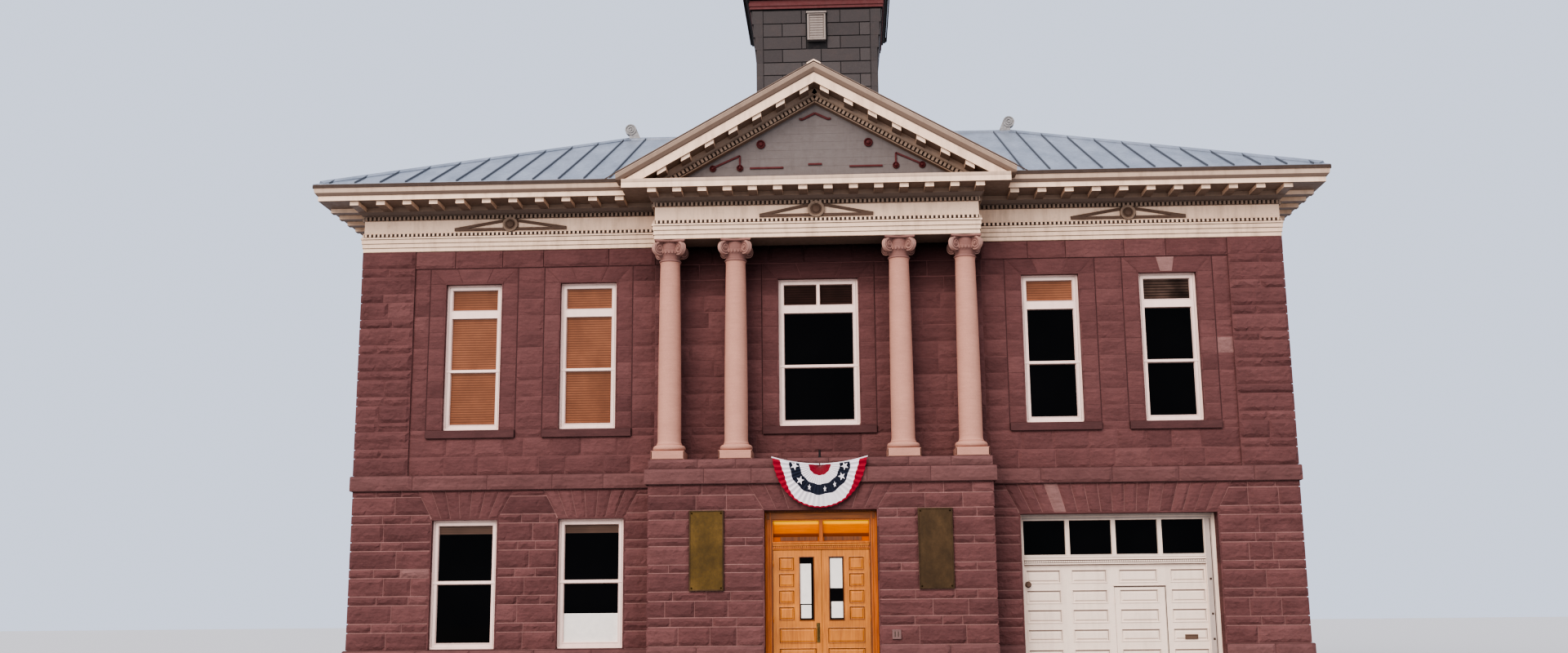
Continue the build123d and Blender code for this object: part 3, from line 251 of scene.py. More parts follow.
cream = paint_look("cream_painted_timber", *CREAM, shade=SOFFIT)
cornice_paint = paint_look("cornice_timber", *CREAM, shade=SOFFIT, shade_bands=CORNICE_SHADE_BANDS)
rake_paint = paint_look("rake_timber", *CREAM, shade=SOFFIT, shade_bands=RAKE_SHADE_BANDS, lean=SLOPE)
cream_dark = paint_look("shaded_cream_timber", (0.27, 0.222, 0.19), (0.16, 0.125, 0.105))
# A duller cream: painted shade for the dentils under the soffits, and also the roundels' outer
# rings
dull_shaded_cream = paint_look("dull_shaded_cream_timber", (0.28, 0.20, 0.145), (0.16, 0.11, 0.082), 0.4)
white = paint_look(
    "white_painted_sash", (0.82, 0.615, 0.535), (0.50, 0.37, 0.33), 0.3, 0.38, SASH_SHADE
)
garage_white = paint_look(
    "white_painted_door", (0.74, 0.60, 0.495), (0.44, 0.34, 0.28), 0.3, 0.42, DOOR_SHADE
)
garage_shade = paint_look("shaded_door_paint", (0.34, 0.27, 0.225), (0.22, 0.165, 0.135), 0.4, 0.5)
# Painted shade on the garage frame: its head, inside its right jamb and behind its dentils
pale_shade = paint_look("pale_painted_shade", (0.47, 0.39, 0.34), (0.32, 0.25, 0.21), 0.4, 0.5)
# Painted deep shade for gaps, slots and shadow lines, and the colour of the dark eave strip, rake
# lip and hinges
deep_shade = paint_look("deep_shade_and_dark_trim_paint", (0.075, 0.050, 0.038), (0.045, 0.030, 0.024), 0.3, 0.7)
# Painted shade for the bed under the raking soffits
soffit_shade_paint = paint_look("brown_soffit_shade_paint", (0.36, 0.265, 0.20), (0.20, 0.14, 0.11), 0.4, 0.6)
tympanum_paint = paint_look("grey_boards", (0.155, 0.132, 0.122), (0.10, 0.085, 0.078), 0.4, 0.6)
red_trim = paint_look("dark_red_trim", (0.105, 0.022, 0.022), (0.06, 0.016, 0.016), 0.4, 0.6)
band_red = paint_look("brick_red_band", (0.130, 0.037, 0.035), (0.085, 0.026, 0.025), 0.4, 0.6)
bronze_trim = paint_look(
    "brown_ornament_paint", (0.13, 0.080, 0.055), (0.07, 0.045, 0.033), 0.4, 0.6
)


def metal_roof_look():
    """Painted sheet roof with faint streaks, dull patches and small oil-canning waves."""
    look = Look("blue_grey_sheet_roof", (0.25, 0.28, 0.33), 0.42, 0.2, 0.5)
    streaks = look.noise(0.9, 3, 0.6, (3.0, 1.0, 1.0))
    dust = look.noise(12, 3, 0.7)
    waves = look.noise(1.6, 1, 0.5)
    body = look.ramp(streaks, [(0.3, (0.175, 0.197, 0.236)), (0.7, (0.26, 0.283, 0.325))])
    body = look.mix(body, (0.31, 0.31, 0.32), look.grey(dust, 0.5, 0.8, 0.0, 0.35))
    return look.done(body, (dust, 0.3, 0.55), [(waves, 0.006), (dust, 0.0006)], 0.5)


def cladding_look():
    """Dark sheet blocks of the tower, one tone for each block, with rust-brown bloom."""
    look = Look("dark_tower_cladding", (0.085, 0.07, 0.068), 0.6, 0.15, 0.4)
    tone = look.tone()
    bloom = look.noise(5, 5, 0.65, shift=tone)
    fine = look.noise(60, 3, 0.6)
    stops = [(0.0, (0.012, 0.01, 0.01)), (0.3, (0.056, 0.046, 0.043)), (1.0, (0.082, 0.068, 0.063))]
    rust = look.grey(bloom, 0.5, 0.8, 0.0, 0.35)
    body = look.mix(look.ramp(tone, stops), (0.10, 0.068, 0.058), rust)
    return look.done(body, (fine, 0.5, 0.75), [(bloom, 0.003), (fine, 0.0015)], 0.6)


def wood_look(name, pale, deep, axis=2, gloss=0.28, coat=0.6):
    """Varnished boards with long grain, growth rings and darker pores."""
    look = Look(name, pale, gloss, specular=0.5)
    look.set({"Coat Weight": coat, "Coat Roughness": 0.12})
    long = [9.0, 9.0, 9.0]
    long[axis] = 0.7
    rings = look.noise(3.2, 4, 0.55, tuple(long))
    fine = look.noise(20, 3, 0.7, tuple(value * 1.6 for value in long))
    board = look.noise(1.3, 2, 0.5)
    middle = tuple((a + b) / 2 for a, b in zip(pale, deep))
    body = look.ramp(rings, [(0.32, deep), (0.5, middle), (0.68, pale)])
    body = look.mix(body, deep, look.grey(fine, 0.58, 0.78, 0.0, 0.55))
    body = look.vary(body, board, 0.35, 0.65, 0.8, 1.15, 0.6)
    return look.done(body, (fine, gloss, gloss + 0.18), [(rings, 0.0006), (fine, 0.0005)], 0.5)


def plain_look(name, colour, rough, metallic=0.0, shade=0.25, scale=20):
    """A simple surface with a little variation and a fine bump."""
    look = Look(name, colour, rough, metallic)
    spots = look.noise(scale, 5, 0.65)
    body = look.vary(colour, spots, 0.3, 0.7, 1 - shade, 1 + shade, 1.0)
    return look.done(body, (spots, rough * 0.85, min(1.0, rough * 1.25)), [(spots, 0.0008)], 0.5)


def glass_look(name, colour):
    """Window glass over a dark room: deep, glossy and very slightly wavy."""
    look = Look(name, colour, 0.04, specular=0.12)
    depth = look.noise(0.7, 3, 0.5)
    body = look.ramp(depth, [(0.35, tuple(part * 0.5 for part in colour)), (0.7, colour)])
    return look.done(body, None, [(look.noise(1.1, 1, 0.4), 0.002)], 0.25)


def plaque_look():
    """Old bronze plate with green and brown bloom, blank."""
    look = Look("bronze_plate", (0.12, 0.085, 0.03), 0.45, 0.65)
    cloud = look.noise(2.6, 4, 0.7, (1.0, 1.0, 0.7))
    fine = look.noise(24, 3, 0.7)
    golds = ((0.055, 0.034, 0.010), (0.100, 0.060, 0.016), (0.15, 0.090, 0.026))
    browns = ((0.040, 0.024, 0.013), (0.072, 0.043, 0.022), (0.115, 0.068, 0.034))
    brown, gold = (look.ramp(cloud, list(zip((0.25, 0.5, 0.75), row))) for row in (browns, golds))
    body = look.mix(brown, gold, look.tone())
    body = look.mix(body, (0.060, 0.043, 0.024), look.grey(fine, 0.5, 0.75, 0.0, 0.4))
    return look.done(body, (fine, 0.38, 0.6), [(fine, 0.0015)], 0.6)


def lit_look():
    """The lit room behind the lights over the door, a board glowing with painted light: orange,
    brighter near the top.
    """
    look = Look("lit_orange_room", (0.95, 0.42, 0.04), 0.3, specular=0.15)
    boards = look.noise(9, 3, 0.6, (0.4, 1.0, 5.0))
    glow = [(0.0, (0.40, 0.085, 0.002)), (0.2, (0.38, 0.08, 0.002)), (0.24, (0.11, 0.022, 0.001))]
    glow += [(0.36, (0.15, 0.032, 0.002)), (0.42, (0.44, 0.105, 0.002))]
    glow += [(0.78, (0.56, 0.15, 0.003)), (0.86, (0.95, 0.42, 0.012)), (1.0, (1.0, 0.62, 0.05))]
    body = look.ramp(look.span(look.axes(look.place)["Z"], 2.92, 3.33), glow)
    body = look.vary(body, boards, 0.3, 0.7, 0.82, 1.1, 0.7)
    look.set({"Base Color": body, "Emission Color": body, "Emission Strength": 0.3})
    return look.material


def blind_look(name, pale, deep, coat=0.25):
    """Blind slats behind glass: warm, a little uneven, darkened by their tone as painted shade,
    with a clear coat for the pane.
    """
    look = Look(name, pale, 0.55, specular=0.3 if coat > 0.1 else 0.1)
    look.set({"Coat Weight": coat, "Coat Roughness": 0.05})
    tone = look.tone()
    fine = look.noise(30, 3, 0.6, (0.3, 0.3, 2.0))
    body = look.ramp(look.noise(1.6, 3, 0.5), [(0.3, deep), (0.7, pale)])
    body = look.mix(look.vary(body, fine, 0.3, 0.7, 0.88, 1.1, 0.7), deep, tone)
    return look.done(look.mix(body, (0.35,) * 3, tone, "MULTIPLY"), None, [(fine, 0.0008)], 0.4)


def cloth_look():
    """Cotton bunting: colours by the tone of each band, with a fine weave."""
    look = Look("cotton_bunting", (0.7, 0.7, 0.72), 0.85, specular=0.2)
    look.set({"Sheen Weight": 0.3})
    stops = [(0.0, (0.010, 0.014, 0.030)), (0.33, (0.66, 0.62, 0.63)), (0.66, (0.28, 0.010, 0.024))]
    dyes = look.ramp(look.tone(), stops, "CONSTANT")
    inputs = {"Scale": 220, "Vector": look.place}
    weaves = [look.node("ShaderNodeTexWave", inputs, bands_direction=way) for way in "XZ"]
    soft = look.noise(5, 4, 0.6)
    body = look.vary(dyes, soft, 0.3, 0.7, 0.86, 1.06, 0.8)
    woven = look.mix(*(weave.outputs["Color"] for weave in weaves), 0.5)
    return look.done(body, None, [(woven, 0.0006), (soft, 0.004)], 0.4)


roof_metal = metal_roof_look()
cladding = cladding_look()
varnish = wood_look("golden_varnished_wood", (0.53, 0.200, 0.036), (0.38, 0.125, 0.018), coat=0.12)
varnish_frame = wood_look(
    "orange_frame_varnish", (0.50, 0.140, 0.012), (0.32, 0.078, 0.006), coat=0.12
)
# Painted shade on the door frame's head under the arch
head_shade_varnish = wood_look("shaded_head_varnish", (0.36, 0.115, 0.014), (0.22, 0.064, 0.008), 0, coat=0.1)
varnish_dark = wood_look("shaded_varnish", (0.22, 0.068, 0.010), (0.11, 0.032, 0.006), coat=0.1)
floor_boards = wood_look("interior_boards", (0.30, 0.19, 0.10), (0.17, 0.10, 0.05), 0, 0.5, 0.0)
dark_glass = glass_look("dark_window_glass", (0.0035, 0.003, 0.003))
door_glass = glass_look("dark_door_glass", (0.006, 0.004, 0.0035))
seam_metal = plain_look("seam_metal", (0.10, 0.108, 0.122), 0.5, 0.2, 0.3, 14)
weathered_zinc = plain_look("weathered_zinc", (0.26, 0.25, 0.24), 0.6, 0.3, 0.4, 18)
iron = plain_look("black_iron", (0.018, 0.017, 0.017), 0.5, 0.6)
stone_plate = plain_look("painted_vent_plate", (0.17, 0.10, 0.09), 0.7, 0.0, 0.2, 30)
aged_brass = plain_look("aged_brass", (0.13, 0.09, 0.035), 0.42, 0.8, 0.4, 35)
paper = plain_look("blank_paper", (0.70, 0.66, 0.60), 0.8, 0.0, 0.06, 8)
render_floor = plain_look("concrete_floor", (0.30, 0.28, 0.27), 0.85, 0.0, 0.15, 6)
plaque_metal = plaque_look()
lit_room = lit_look()
orange_blind = blind_look("orange_brown_blind", (0.37, 0.150, 0.074), (0.22, 0.083, 0.039))
brown_blind = blind_look("brown_roller_blind", (0.17, 0.10, 0.07), (0.12, 0.07, 0.048))
dark_blind = blind_look("dark_blind", (0.075, 0.036, 0.027), (0.036, 0.017, 0.013), 0.03)
slat_blind = blind_look("pale_slat_blind", (0.24, 0.155, 0.12), (0.02, 0.012, 0.009), 0.03)
cotton = cloth_look()


# Geometry helpers
class Face:
    """A plane on the building: u along it, v up it and w out of it."""

    def __init__(self, origin, along, up=(0, 0, 1)):
        self.origin = np.array(origin, float)
        self.along = np.array(along, float)
        self.up = np.array(up, float)
        self.out = np.cross(self.along, self.up)

    def at(self, u, v, w):
        u, v, w = np.broadcast_arrays(np.asarray(u, float), v, w)
        parts = ((u, self.along), (v, self.up), (w, self.out))
        shifts = [np.multiply.outer(part.ravel(), axis) for part, axis in parts]
        return self.origin + shifts[0] + shifts[1] + shifts[2]

    def moved(self, w):
        return Face(self.origin + self.out * w, self.along, self.up)


class Pieces:
    """Collects points, faces, tones and material numbers for one joined mesh."""

    def __init__(self):
        self.points, self.faces, self.tones, self.kinds, self.total = [], [], [], [], 0

    def add(self, points, faces, tone=0.5, kind=0):
        points = np.asarray(points, float).reshape(-1, 3)
        self.points.append(points)
        self.faces.extend(tuple(index + self.total for index in face) for face in faces)
        self.kinds.extend([kind] * len(faces))
        self.tones.append(np.broadcast_to(np.asarray(tone, float), len(points)))
        self.total += len(points)

    def build(self, name, materials, body="building", slot=None, smooth=None):
        mesh = bpy.data.meshes.new(name)
        mesh.from_pydata(np.concatenate(self.points).tolist(), [], self.faces)
        values = mesh.attributes.new("tone", "FLOAT", "POINT")
        values.data.foreach_set("value", np.concatenate(self.tones).astype(np.float32))
        for material in materials:
            mesh.materials.append(material)
        mesh.polygons.foreach_set("material_index", self.kinds)
        if smooth is not None:
            mesh.shade_smooth()
            mesh.set_sharp_from_angle(angle=math.radians(smooth))
        made = bpy.data.objects.new(name, mesh)
        bpy.context.scene.collection.objects.link(made)
        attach(made, body)
        return made


def pair(sign, first, second):
    """Two distances aside, on the side that sign says, smaller first."""
    return tuple(sorted((sign * first, sign * second)))


def around(centre, width):
    """The two ends of a width about its centre."""
    return (centre - width / 2, centre + width / 2)


def within(span, inset=0.118):
    """A span drawn in by the same distance at both ends."""
    return (span[0] + inset, span[1] - inset)


def polar(radius, angle):
    return (radius * math.cos(angle), radius * math.sin(angle))


def circle(radius, count, centre=(0, 0)):
    """Points round a circle, or round an ellipse where the radius is a pair."""
    turns = np.linspace(0, 2 * math.pi, count, endpoint=False)
    wide, tall = np.broadcast_to(radius, 2)
    return np.column_stack([centre[0] + wide * np.cos(turns), centre[1] + tall * np.sin(turns)])


def tube_faces(rows, count):
    """Quads that join rows of closed rings, each of count points."""
    faces = []
    for low in range(0, count * (rows - 1), count):
        for side in range(count):
            after = (side + 1) % count
            faces.append((low + side, low + after, low + count + after, low + count + side))
    return faces


def quarters(reach, centre=(0, 0, 0)):
    """The four sides round a centre: along, out and the face at a reach from it."""
    for along in ((1, 0, 0), (0, 1, 0), (-1, 0, 0), (0, -1, 0)):
        along = np.array(along, float)
        out = np.cross(along, (0, 0, 1.0))
        yield along, out, Face(np.array(centre) + out * reach, along)


def rings(pieces, face, rect, steps, tone=0.5, kind=0, cap=True):
    """Stack rectangles inset from rect at heights w, joined by their sides, and close the last."""
    left, right, low, high = rect
    points = []
    for inset, w in steps:
        u = [left + inset, right - inset, right - inset, left + inset]
        v = [low + inset, low + inset, high - inset, high - inset]
        points.append(face.at(u, v, w))
    faces = tube_faces(len(steps), 4)
    if cap:
        last = 4 * (len(steps) - 1)
        faces.append((last, last + 1, last + 2, last + 3))
    pieces.add(np.concatenate(points), faces, tone, kind)


def brick(pieces, face, rect, w0, w1, tone=0.5, kind=0, edge=0.0):
    """A block standing out from w0 to w1, with its front edges chamfered if edge is given."""
    steps = [(0, w0), (0, w1 - edge), (edge, w1)] if edge else [(0, w0), (0, w1)]
    rings(pieces, face, rect, steps, tone, kind)


def bricks(pieces, face, rows):
    """Blocks on a face, each given as left, right, low, high, out, kind and edge."""
    for *rect, out, kind, edge in rows:
        brick(pieces, face, rect, 0.0, out, 0.5, kind, edge)


def closed_prism(pieces, face, outline, w0, w1, tone=0.5, kind=0):
    """A flat outline, anticlockwise in u and v, stood out from w0 to w1."""
    outline = np.asarray(outline, float)
    count = len(outline)
    points = np.concatenate([face.at(outline[:, 0], outline[:, 1], w) for w in (w0, w1)])
    ends = [tuple(range(count, 2 * count)), tuple(range(count))[::-1]]
    pieces.add(points, tube_faces(2, count) + ends, tone, kind)


def bar(pieces, face, start, end, width, out):
    """A straight raised bar from one point to another on a plane."""
    start, end = np.array(start, float), np.array(end, float)
    way = (end - start) / np.linalg.norm(end - start)
    side = np.array([-way[1], way[0]]) * width / 2
    outline = [start - side, end - side, end + side, start + side]
    closed_prism(pieces, face, outline, 0.0, out)


def lathe(pieces, centre, profile, count, tone=0.5):
    """Turn a profile of (radius, height) about the vertical through centre."""
    points = [
        np.column_stack([circle(radius, count, centre), np.full(count, height)])
        for radius, height in profile
    ]
    pieces.add(np.concatenate(points), tube_faces(len(profile), count), tone)


def torus(radius, level, wide, tall, count):
    """The rounded profile of a moulding, from its foot to its head."""
    turns = np.linspace(-math.pi / 2, math.pi / 2, count)
    return [(radius + wide * math.cos(turn), level + tall * math.sin(turn)) for turn in turns]


# Stones: how far they stand off the wall's backing and how deep their edges run into it
LIFT, SUNK = 0.003, 0.02


def stone(pieces, face, quad, base, bulge, cell, tone, joint=0.005, bed=0.009):
    """One rock-faced stone: left and right at the foot and at the head, then low and high."""
    foot_left, foot_right, head_left, head_right, low, high = quad
    foot_left, head_left = foot_left + joint, head_left + joint
    foot_right, head_right = foot_right - joint, head_right - joint
    low, high = low + bed, high - bed
    wide = (foot_right - foot_left + head_right - head_left) / 2
    tall = high - low
    if wide < 0.03 or tall < 0.02:
        return
    across = max(2, round(wide / cell))
    rows = max(2, round(tall / cell))
    share, rise = np.meshgrid(np.linspace(0, 1, across + 1), np.linspace(0, 1, rows + 1))
    inside = np.zeros_like(share)
    inside[1:-1, 1:-1] = 1
    shift_u = random.uniform(-0.25, 0.25, share.shape) * inside / across
    shift_v = random.uniform(-0.25, 0.25, share.shape) * inside / rows
    share, rise = share + shift_u, rise + shift_v
    left = foot_left + (head_left - foot_left) * rise
    right = foot_right + (head_right - foot_right) * rise
    # The rock face: a slope, a ledge, a wave and small dents, flat at its edges
    slope = random.uniform(-0.3, 0.3, 2)
    ledge = random.uniform(0.3, 0.7) + random.uniform(-0.3, 0.3) * (share - 0.5)
    swell = 0.6 + slope[0] * (share - 0.5) + slope[1] * (rise - 0.5)
    swell = swell + random.uniform(-0.05, 0.3) * np.tanh((rise - ledge) * 9)
    swell = swell + 0.12 * np.sin(share * wide * random.uniform(3, 9) + random.uniform(0, 6))
    swell = swell + random.uniform(-0.16, 0.16, share.shape)
    w = base + LIFT + bulge * inside * np.clip(swell, 0.1, 1.15)
    points = face.at(left + (right - left) * share, low + tall * rise, w)
    # Triangles with their diagonals either way, and sides that run back into the wall
    grid = np.arange(share.size).reshape(share.shape)
    faces = []
    turned = random.random((rows, across)) < 0.5
    for j in range(rows):
        for i in range(across):
            a, b, c, d = grid[j, i], grid[j, i + 1], grid[j + 1, i + 1], grid[j + 1, i]
            faces += [(a, b, d), (b, c, d)] if turned[j, i] else [(a, b, c), (a, c, d)]
    loop = np.concatenate([grid[0, :-1], grid[:-1, -1], grid[-1, :0:-1], grid[:0:-1, 0]])
    count = len(points)
    for i in range(len(loop)):
        after = (i + 1) % len(loop)
        faces.append((loop[after], loop[i], count + i, count + after))
    back = points[loop] - face.out * (LIFT + SUNK)
    pieces.add(np.concatenate([points, back]), faces, tone)


def stone_tone(light=0.02):
    """A tone for one stone: mostly middling, seldom light."""
    if random.random() < light / 2:
        return random.uniform(0.72, 0.9)
    return float(np.clip(random.normal(0.46, 0.06), 0.28, 0.66))


def free_spans(limits, holes, low, high):
    """A course's spans between its holes, each as left and right at the foot and at the head."""
    cuts = []
    for hole_low, hole_high, foot, head in holes:
        if hole_low < high - 0.02 and hole_high > low + 0.02:
            ends = []
            for level in (low, high):
                share = min(max((level - hole_low) / (hole_high - hole_low), 0), 1)
                ends.append([foot[k] + (head[k] - foot[k]) * share for k in (0, 1)])
            cuts.append(ends)
    cuts.sort(key=lambda ends: ends[0][0] + ends[1][0])
    spans, left = [], (limits[0], limits[0])
    for (foot_left, foot_right), (head_left, head_right) in cuts:
        spans.append((left[0], foot_left, left[1], head_left))
        left = (foot_right, head_right)
    spans.append((left[0], limits[1], left[1], limits[1]))
    return [span for span in spans if span[1] - span[0] > 0.04 or span[3] - span[2] > 0.04]


def lay(pieces, face, limits, levels, holes, length, base, bulge, cell, light=0.02):
    """Lay courses of rock-faced stones between levels, clear of the holes."""
    for low, high in zip(levels, levels[1:]):
        target = length * (1.0 if high - low > 0.25 else 0.8)
        for foot_left, foot_right, head_left, head_right in free_spans(limits, holes, low, high):
            wide = (foot_right - foot_left + head_right - head_left) / 2
            count = max(1, round(wide / target + random.uniform(-0.3, 0.3)))
            shares = random.uniform(0.65, 1.35, count)
            stops = np.concatenate([[0], np.cumsum(shares) / shares.sum()])
            for start, end in zip(stops[:-1], stops[1:]):
                feet = [foot_left + (foot_right - foot_left) * s for s in (start, end)]
                heads = [head_left + (head_right - head_left) * s for s in (start, end)]
                inner = [(a + b) / 2 for a, b in zip(feet, heads)]
                if start != 0:
                    feet[0] = heads[0] = inner[0]
                if end != 1:
                    feet[1] = heads[1] = inner[1]
                quad = (*feet, *heads, low, high)
                stone(pieces, face, quad, base, bulge, cell, stone_tone(light))


def plain_hole(span, low, high):
    """A hole with upright sides, for free_spans."""
    return (low, high, span, span)


def flat_arch(pieces, face, span, low, high, shares, base, bulge, cell, light=0.02, key=None):
    """Lay the splayed stones of a flat arch, met at these shares of it, and return its hole."""
    shares = np.array(shares)
    feet = span[0] + (span[1] - span[0]) * shares
    heads = span[0] - SPLAY + (span[1] - span[0] + 2 * SPLAY) * shares
    for number in range(len(shares) - 1):
        quad = (*feet[number:number + 2], *heads[number:number + 2], low, high)
        tone = stone_tone(light)
        if key is not None and number == len(shares) // 2 - 1:
            tone = key
        stone(pieces, face, quad, base, bulge, cell, tone)
    return (low, high, span, (span[0] - SPLAY, span[1] + SPLAY))


def line_opening(pieces, face, span, low, high, depth, out, sill=True):
    """Line an opening's reveals, head and foot with stones as deep as the frame is set back."""
    levels = np.linspace(low, high, max(2, round((high - low) / 0.33)) + 1)
    for bottom, top in zip(levels, levels[1:]):
        for left, right in ((span[0] - 0.02, span[0] + 0.005), (span[1] - 0.005, span[1] + 0.02)):
            rect = (left, right, bottom + 0.003, top - 0.003)
            brick(pieces, face, rect, -depth, out, stone_tone(0))
    across = (span[0] - 0.02, span[1] + 0.02)
    brick(pieces, face, (*across, high - 0.006, high + 0.02), -depth, out, 0.4)
    if sill:
        brick(pieces, face, (*across, low - 0.02, low + 0.006), -depth, out, 0.45)


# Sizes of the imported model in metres: walls, openings and levels of the courses
HALF_DEPTH, HALF_WIDTH, CORNER, STRIP, BASE_HALF = 4.8, 9.36, 9.39, 8.28, 9.44
BLOCK, BLOCK_OUT, PROUD = 3.32, 0.813, 0.06
REVEAL, JAMB, SPLAY = 0.109, 0.32, 0.3
COURSE, CELL, COARSE = 0.335, 0.062, 0.13
UPPER, LOWER = (5.23, 8.245), (0.915, 3.447)
BASE, BLOCK_BASE = [0.0, 0.48, 0.915], [0.0, 0.5, 0.97]
BELT, PLINTH = [4.03, 4.33], [4.33, 4.52]
UPPER_ARCH, TOP_COURSE = (8.245, 8.57), [8.57, 8.94]
DOORSTEP = 0.15
GARAGE, GARAGE_HEAD = (3.907, 7.753), 3.438
DOOR, DOOR_HEAD = (-1.09, 1.09), 3.52
PLATES, PLATE_RISE = ((-2.53, -1.865), (1.865, 2.53)), (1.995, 3.522)

upper_levels = [4.33, 4.70, 5.075] + [UPPER[0] + COURSE * step for step in range(10)] + [8.57]

# The corner strips alternate high and low stones between the belt and the entablature
STRIP_FOOT, STRIP_RISE = 4.33, 4.61
strip_levels = [STRIP_FOOT]
while strip_levels[-1] < 8.6:
    strip_levels.append(strip_levels[-1] + (0.345 if len(strip_levels) % 2 else 0.175))
stretch = STRIP_RISE / (strip_levels[-1] - STRIP_FOOT)
strip_levels = [STRIP_FOOT + (level - STRIP_FOOT) * stretch for level in strip_levels]
low_levels = [0.915, 1.255, 1.43, 1.785, 1.96, 2.315, 2.49, 2.845, 3.02, 3.375, 3.55, 3.905, 4.03]
block_levels = [0.97, 1.325, 1.50, 1.81, 1.987, 2.339, 2.494, 2.846, 3.0, 3.353, 3.53, 3.817, 4.03]

front = Face((0, -HALF_DEPTH, 0), (1, 0, 0))
back = Face((0, HALF_DEPTH, 0), (-1, 0, 0))
left_side = Face((-HALF_WIDTH, 0, 0), (0, -1, 0))
right_side = Face((HALF_WIDTH, 0, 0), (0, 1, 0))
block_front = front.moved(BLOCK_OUT)


def cheek(x):
    """The side face at x of something that stands out from the front."""
    return Face((x, -HALF_DEPTH, 0), (0, math.copysign(1, x), 0))


upper_spans = [around(x, 1.16) for x in (-7.05, -4.69, 4.69, 7.05)]
middle_span = around(0, 1.632)
lower_spans = [around(x, 1.314) for x in (-7.10, -4.57)]
side_spans = [around(x, 1.16) for x in (-2.6, 0, 2.6)]
back_low = [around(x, 1.314) for x in (-7.10, -4.57, 0, 4.57, 7.10)]


def upper_wall(pieces, face, limits, spans, cell, keys=()):
    """Lay the upper storey: flat arches and jamb stones in even courses, and a rougher top one."""
    holes = []
    for number, span in enumerate(spans):
        key = keys[number] if number < len(keys) else None
        shares = (0, 0.38, 0.59, 1) if key else (0, 0.3, 0.72, 1)
        flat_arch(pieces, face, span, *UPPER_ARCH, shares, 0.004, 0.014, cell, 0.0, key)
        outer = (span[0] - JAMB, span[1] + JAMB)
        sides = ((outer[0], span[0]), (span[1], outer[1]))
        heads = ((outer[0], outer[0] + 0.03), (outer[1] - 0.03, outer[1]))
        for feet, head in zip(sides, heads):
            quad = (*feet, *head, *UPPER_ARCH)
            stone(pieces, face, quad, 0.002, 0.012, cell, stone_tone(0))
        for step in range(9):
            low = UPPER[0] + COURSE * step
            for side in sides:
                quad = (*side, *side, low, low + COURSE)
                stone(pieces, face, quad, 0.002, 0.016, cell, stone_tone(0))
        # Dark strips in the gaps beside the jamb stones: painted shadow lines
        for left, right in ((outer[0] - 0.018, outer[0]), (outer[1], outer[1] + 0.018)):
            brick(pieces, face, (left, right, 5.08, 8.565), -0.01, 0.003, 0.16)
        holes.append(plain_hole((outer[0] - 0.014, outer[1] + 0.014), 5.075, UPPER_ARCH[1]))
        line_opening(pieces, face, span, *UPPER, REVEAL, 0.012)
    lay(pieces, face, limits, upper_levels, holes, 0.62, 0.0, 0.026, cell, 0.01)
    lay(pieces, face, limits, TOP_COURSE, holes, 1.0, 0.022, 0.034, cell, 0.0)


def lower_wall(pieces, face, limits, spans, cell, count=7):
    """Lay the lower storey around its windows, with flat arches up to the belt course."""
    holes = []
    shares = np.linspace(0, 1, count + 1)
    for span in spans:
        arch = flat_arch(pieces, face, span, LOWER[1], BELT[0], shares, 0.002, 0.03, cell, 0.05)
        holes += [arch, plain_hole(span, *LOWER)]
        line_opening(pieces, face, span, *LOWER, REVEAL, 0.012)
    lay(pieces, face, limits, low_levels, holes, 0.66, 0.0, 0.04, cell)


# Front, upper storey: one light stone on the right, and a fade into shade under the portico
LIGHT_STONE, LIGHT_TONE = (8.14, 6.82), 0.84
upper_front = Pieces()
upper_wall(upper_front, front, (-STRIP, -BLOCK), upper_spans[:2], CELL)
upper_wall(upper_front, front, (BLOCK, STRIP), upper_spans[2:], CELL, (None, 0.92))
for number, points in enumerate(upper_front.points):
    (left, low), (right, high) = points[:, [0, 2]].min(axis=0), points[:, [0, 2]].max(axis=0)
    if left < LIGHT_STONE[0] < right and low < LIGHT_STONE[1] < high:
        upper_front.tones[number] = np.full(len(points), LIGHT_TONE)
shaded_from = len(upper_front.points)
upper_wall(upper_front, front, (-BLOCK, BLOCK), [middle_span], CELL)
for number in range(shaded_from, len(upper_front.points)):
    fade = np.clip(9.0 - upper_front.points[number][:, 2], 0.0, 1.0)
    upper_front.tones[number] = upper_front.tones[number] * fade
for sign in (-1, 1):
    limits = pair(sign, STRIP, CORNER)
    lay(upper_front, front, limits, strip_levels, [], 0.8, 0.04, 0.048, CELL, 0.0)
upper_front.build("stones_front_upper", [rock], slot="front_wall_left")

# Front, lower storey of the wings
lower_front = Pieces()
lower_wall(lower_front, front, (-CORNER, -BLOCK), lower_spans, CELL)
arch = flat_arch(
    lower_front, front, GARAGE, GARAGE_HEAD, BELT[0], np.linspace(0, 1, 18), 0.002, 0.03, CELL, 0.04
)
holes = [arch, plain_hole(GARAGE, 0.0, GARAGE_HEAD)]
lay(lower_front, front, (BLOCK, CORNER), low_levels, holes, 0.66, 0.0, 0.04, CELL)
line_opening(lower_front, front, GARAGE, DOORSTEP, GARAGE_HEAD, 0.298, 0.014, sill=False)
lower_front.build("stones_front_lower", [rock], slot="front_wall_left")

# Entrance block
entrance = Pieces()
arch = flat_arch(
    entrance, block_front, DOOR, DOOR_HEAD, BELT[0], np.linspace(0, 1, 10), 0.002, 0.03, CELL, 0.0
)
holes = [arch, plain_hole(DOOR, 0.0, DOOR_HEAD)]
holes += [plain_hole(span, *PLATE_RISE) for span in PLATES]
lay(entrance, block_front, (-3.345, 3.345), block_levels, holes, 0.66, 0.0, 0.036, CELL)
for sign in (-1, 1):
    limits = pair(-sign, 0.0, BLOCK_OUT)
    lay(entrance, cheek(sign * BLOCK), limits, block_levels, [], 0.5, 0.0, 0.036, CELL)
line_opening(entrance, block_front, DOOR, DOORSTEP, DOOR_HEAD, 0.262, 0.014, sill=False)
entrance.build("stones_entrance", [rock], slot="entrance_piers")

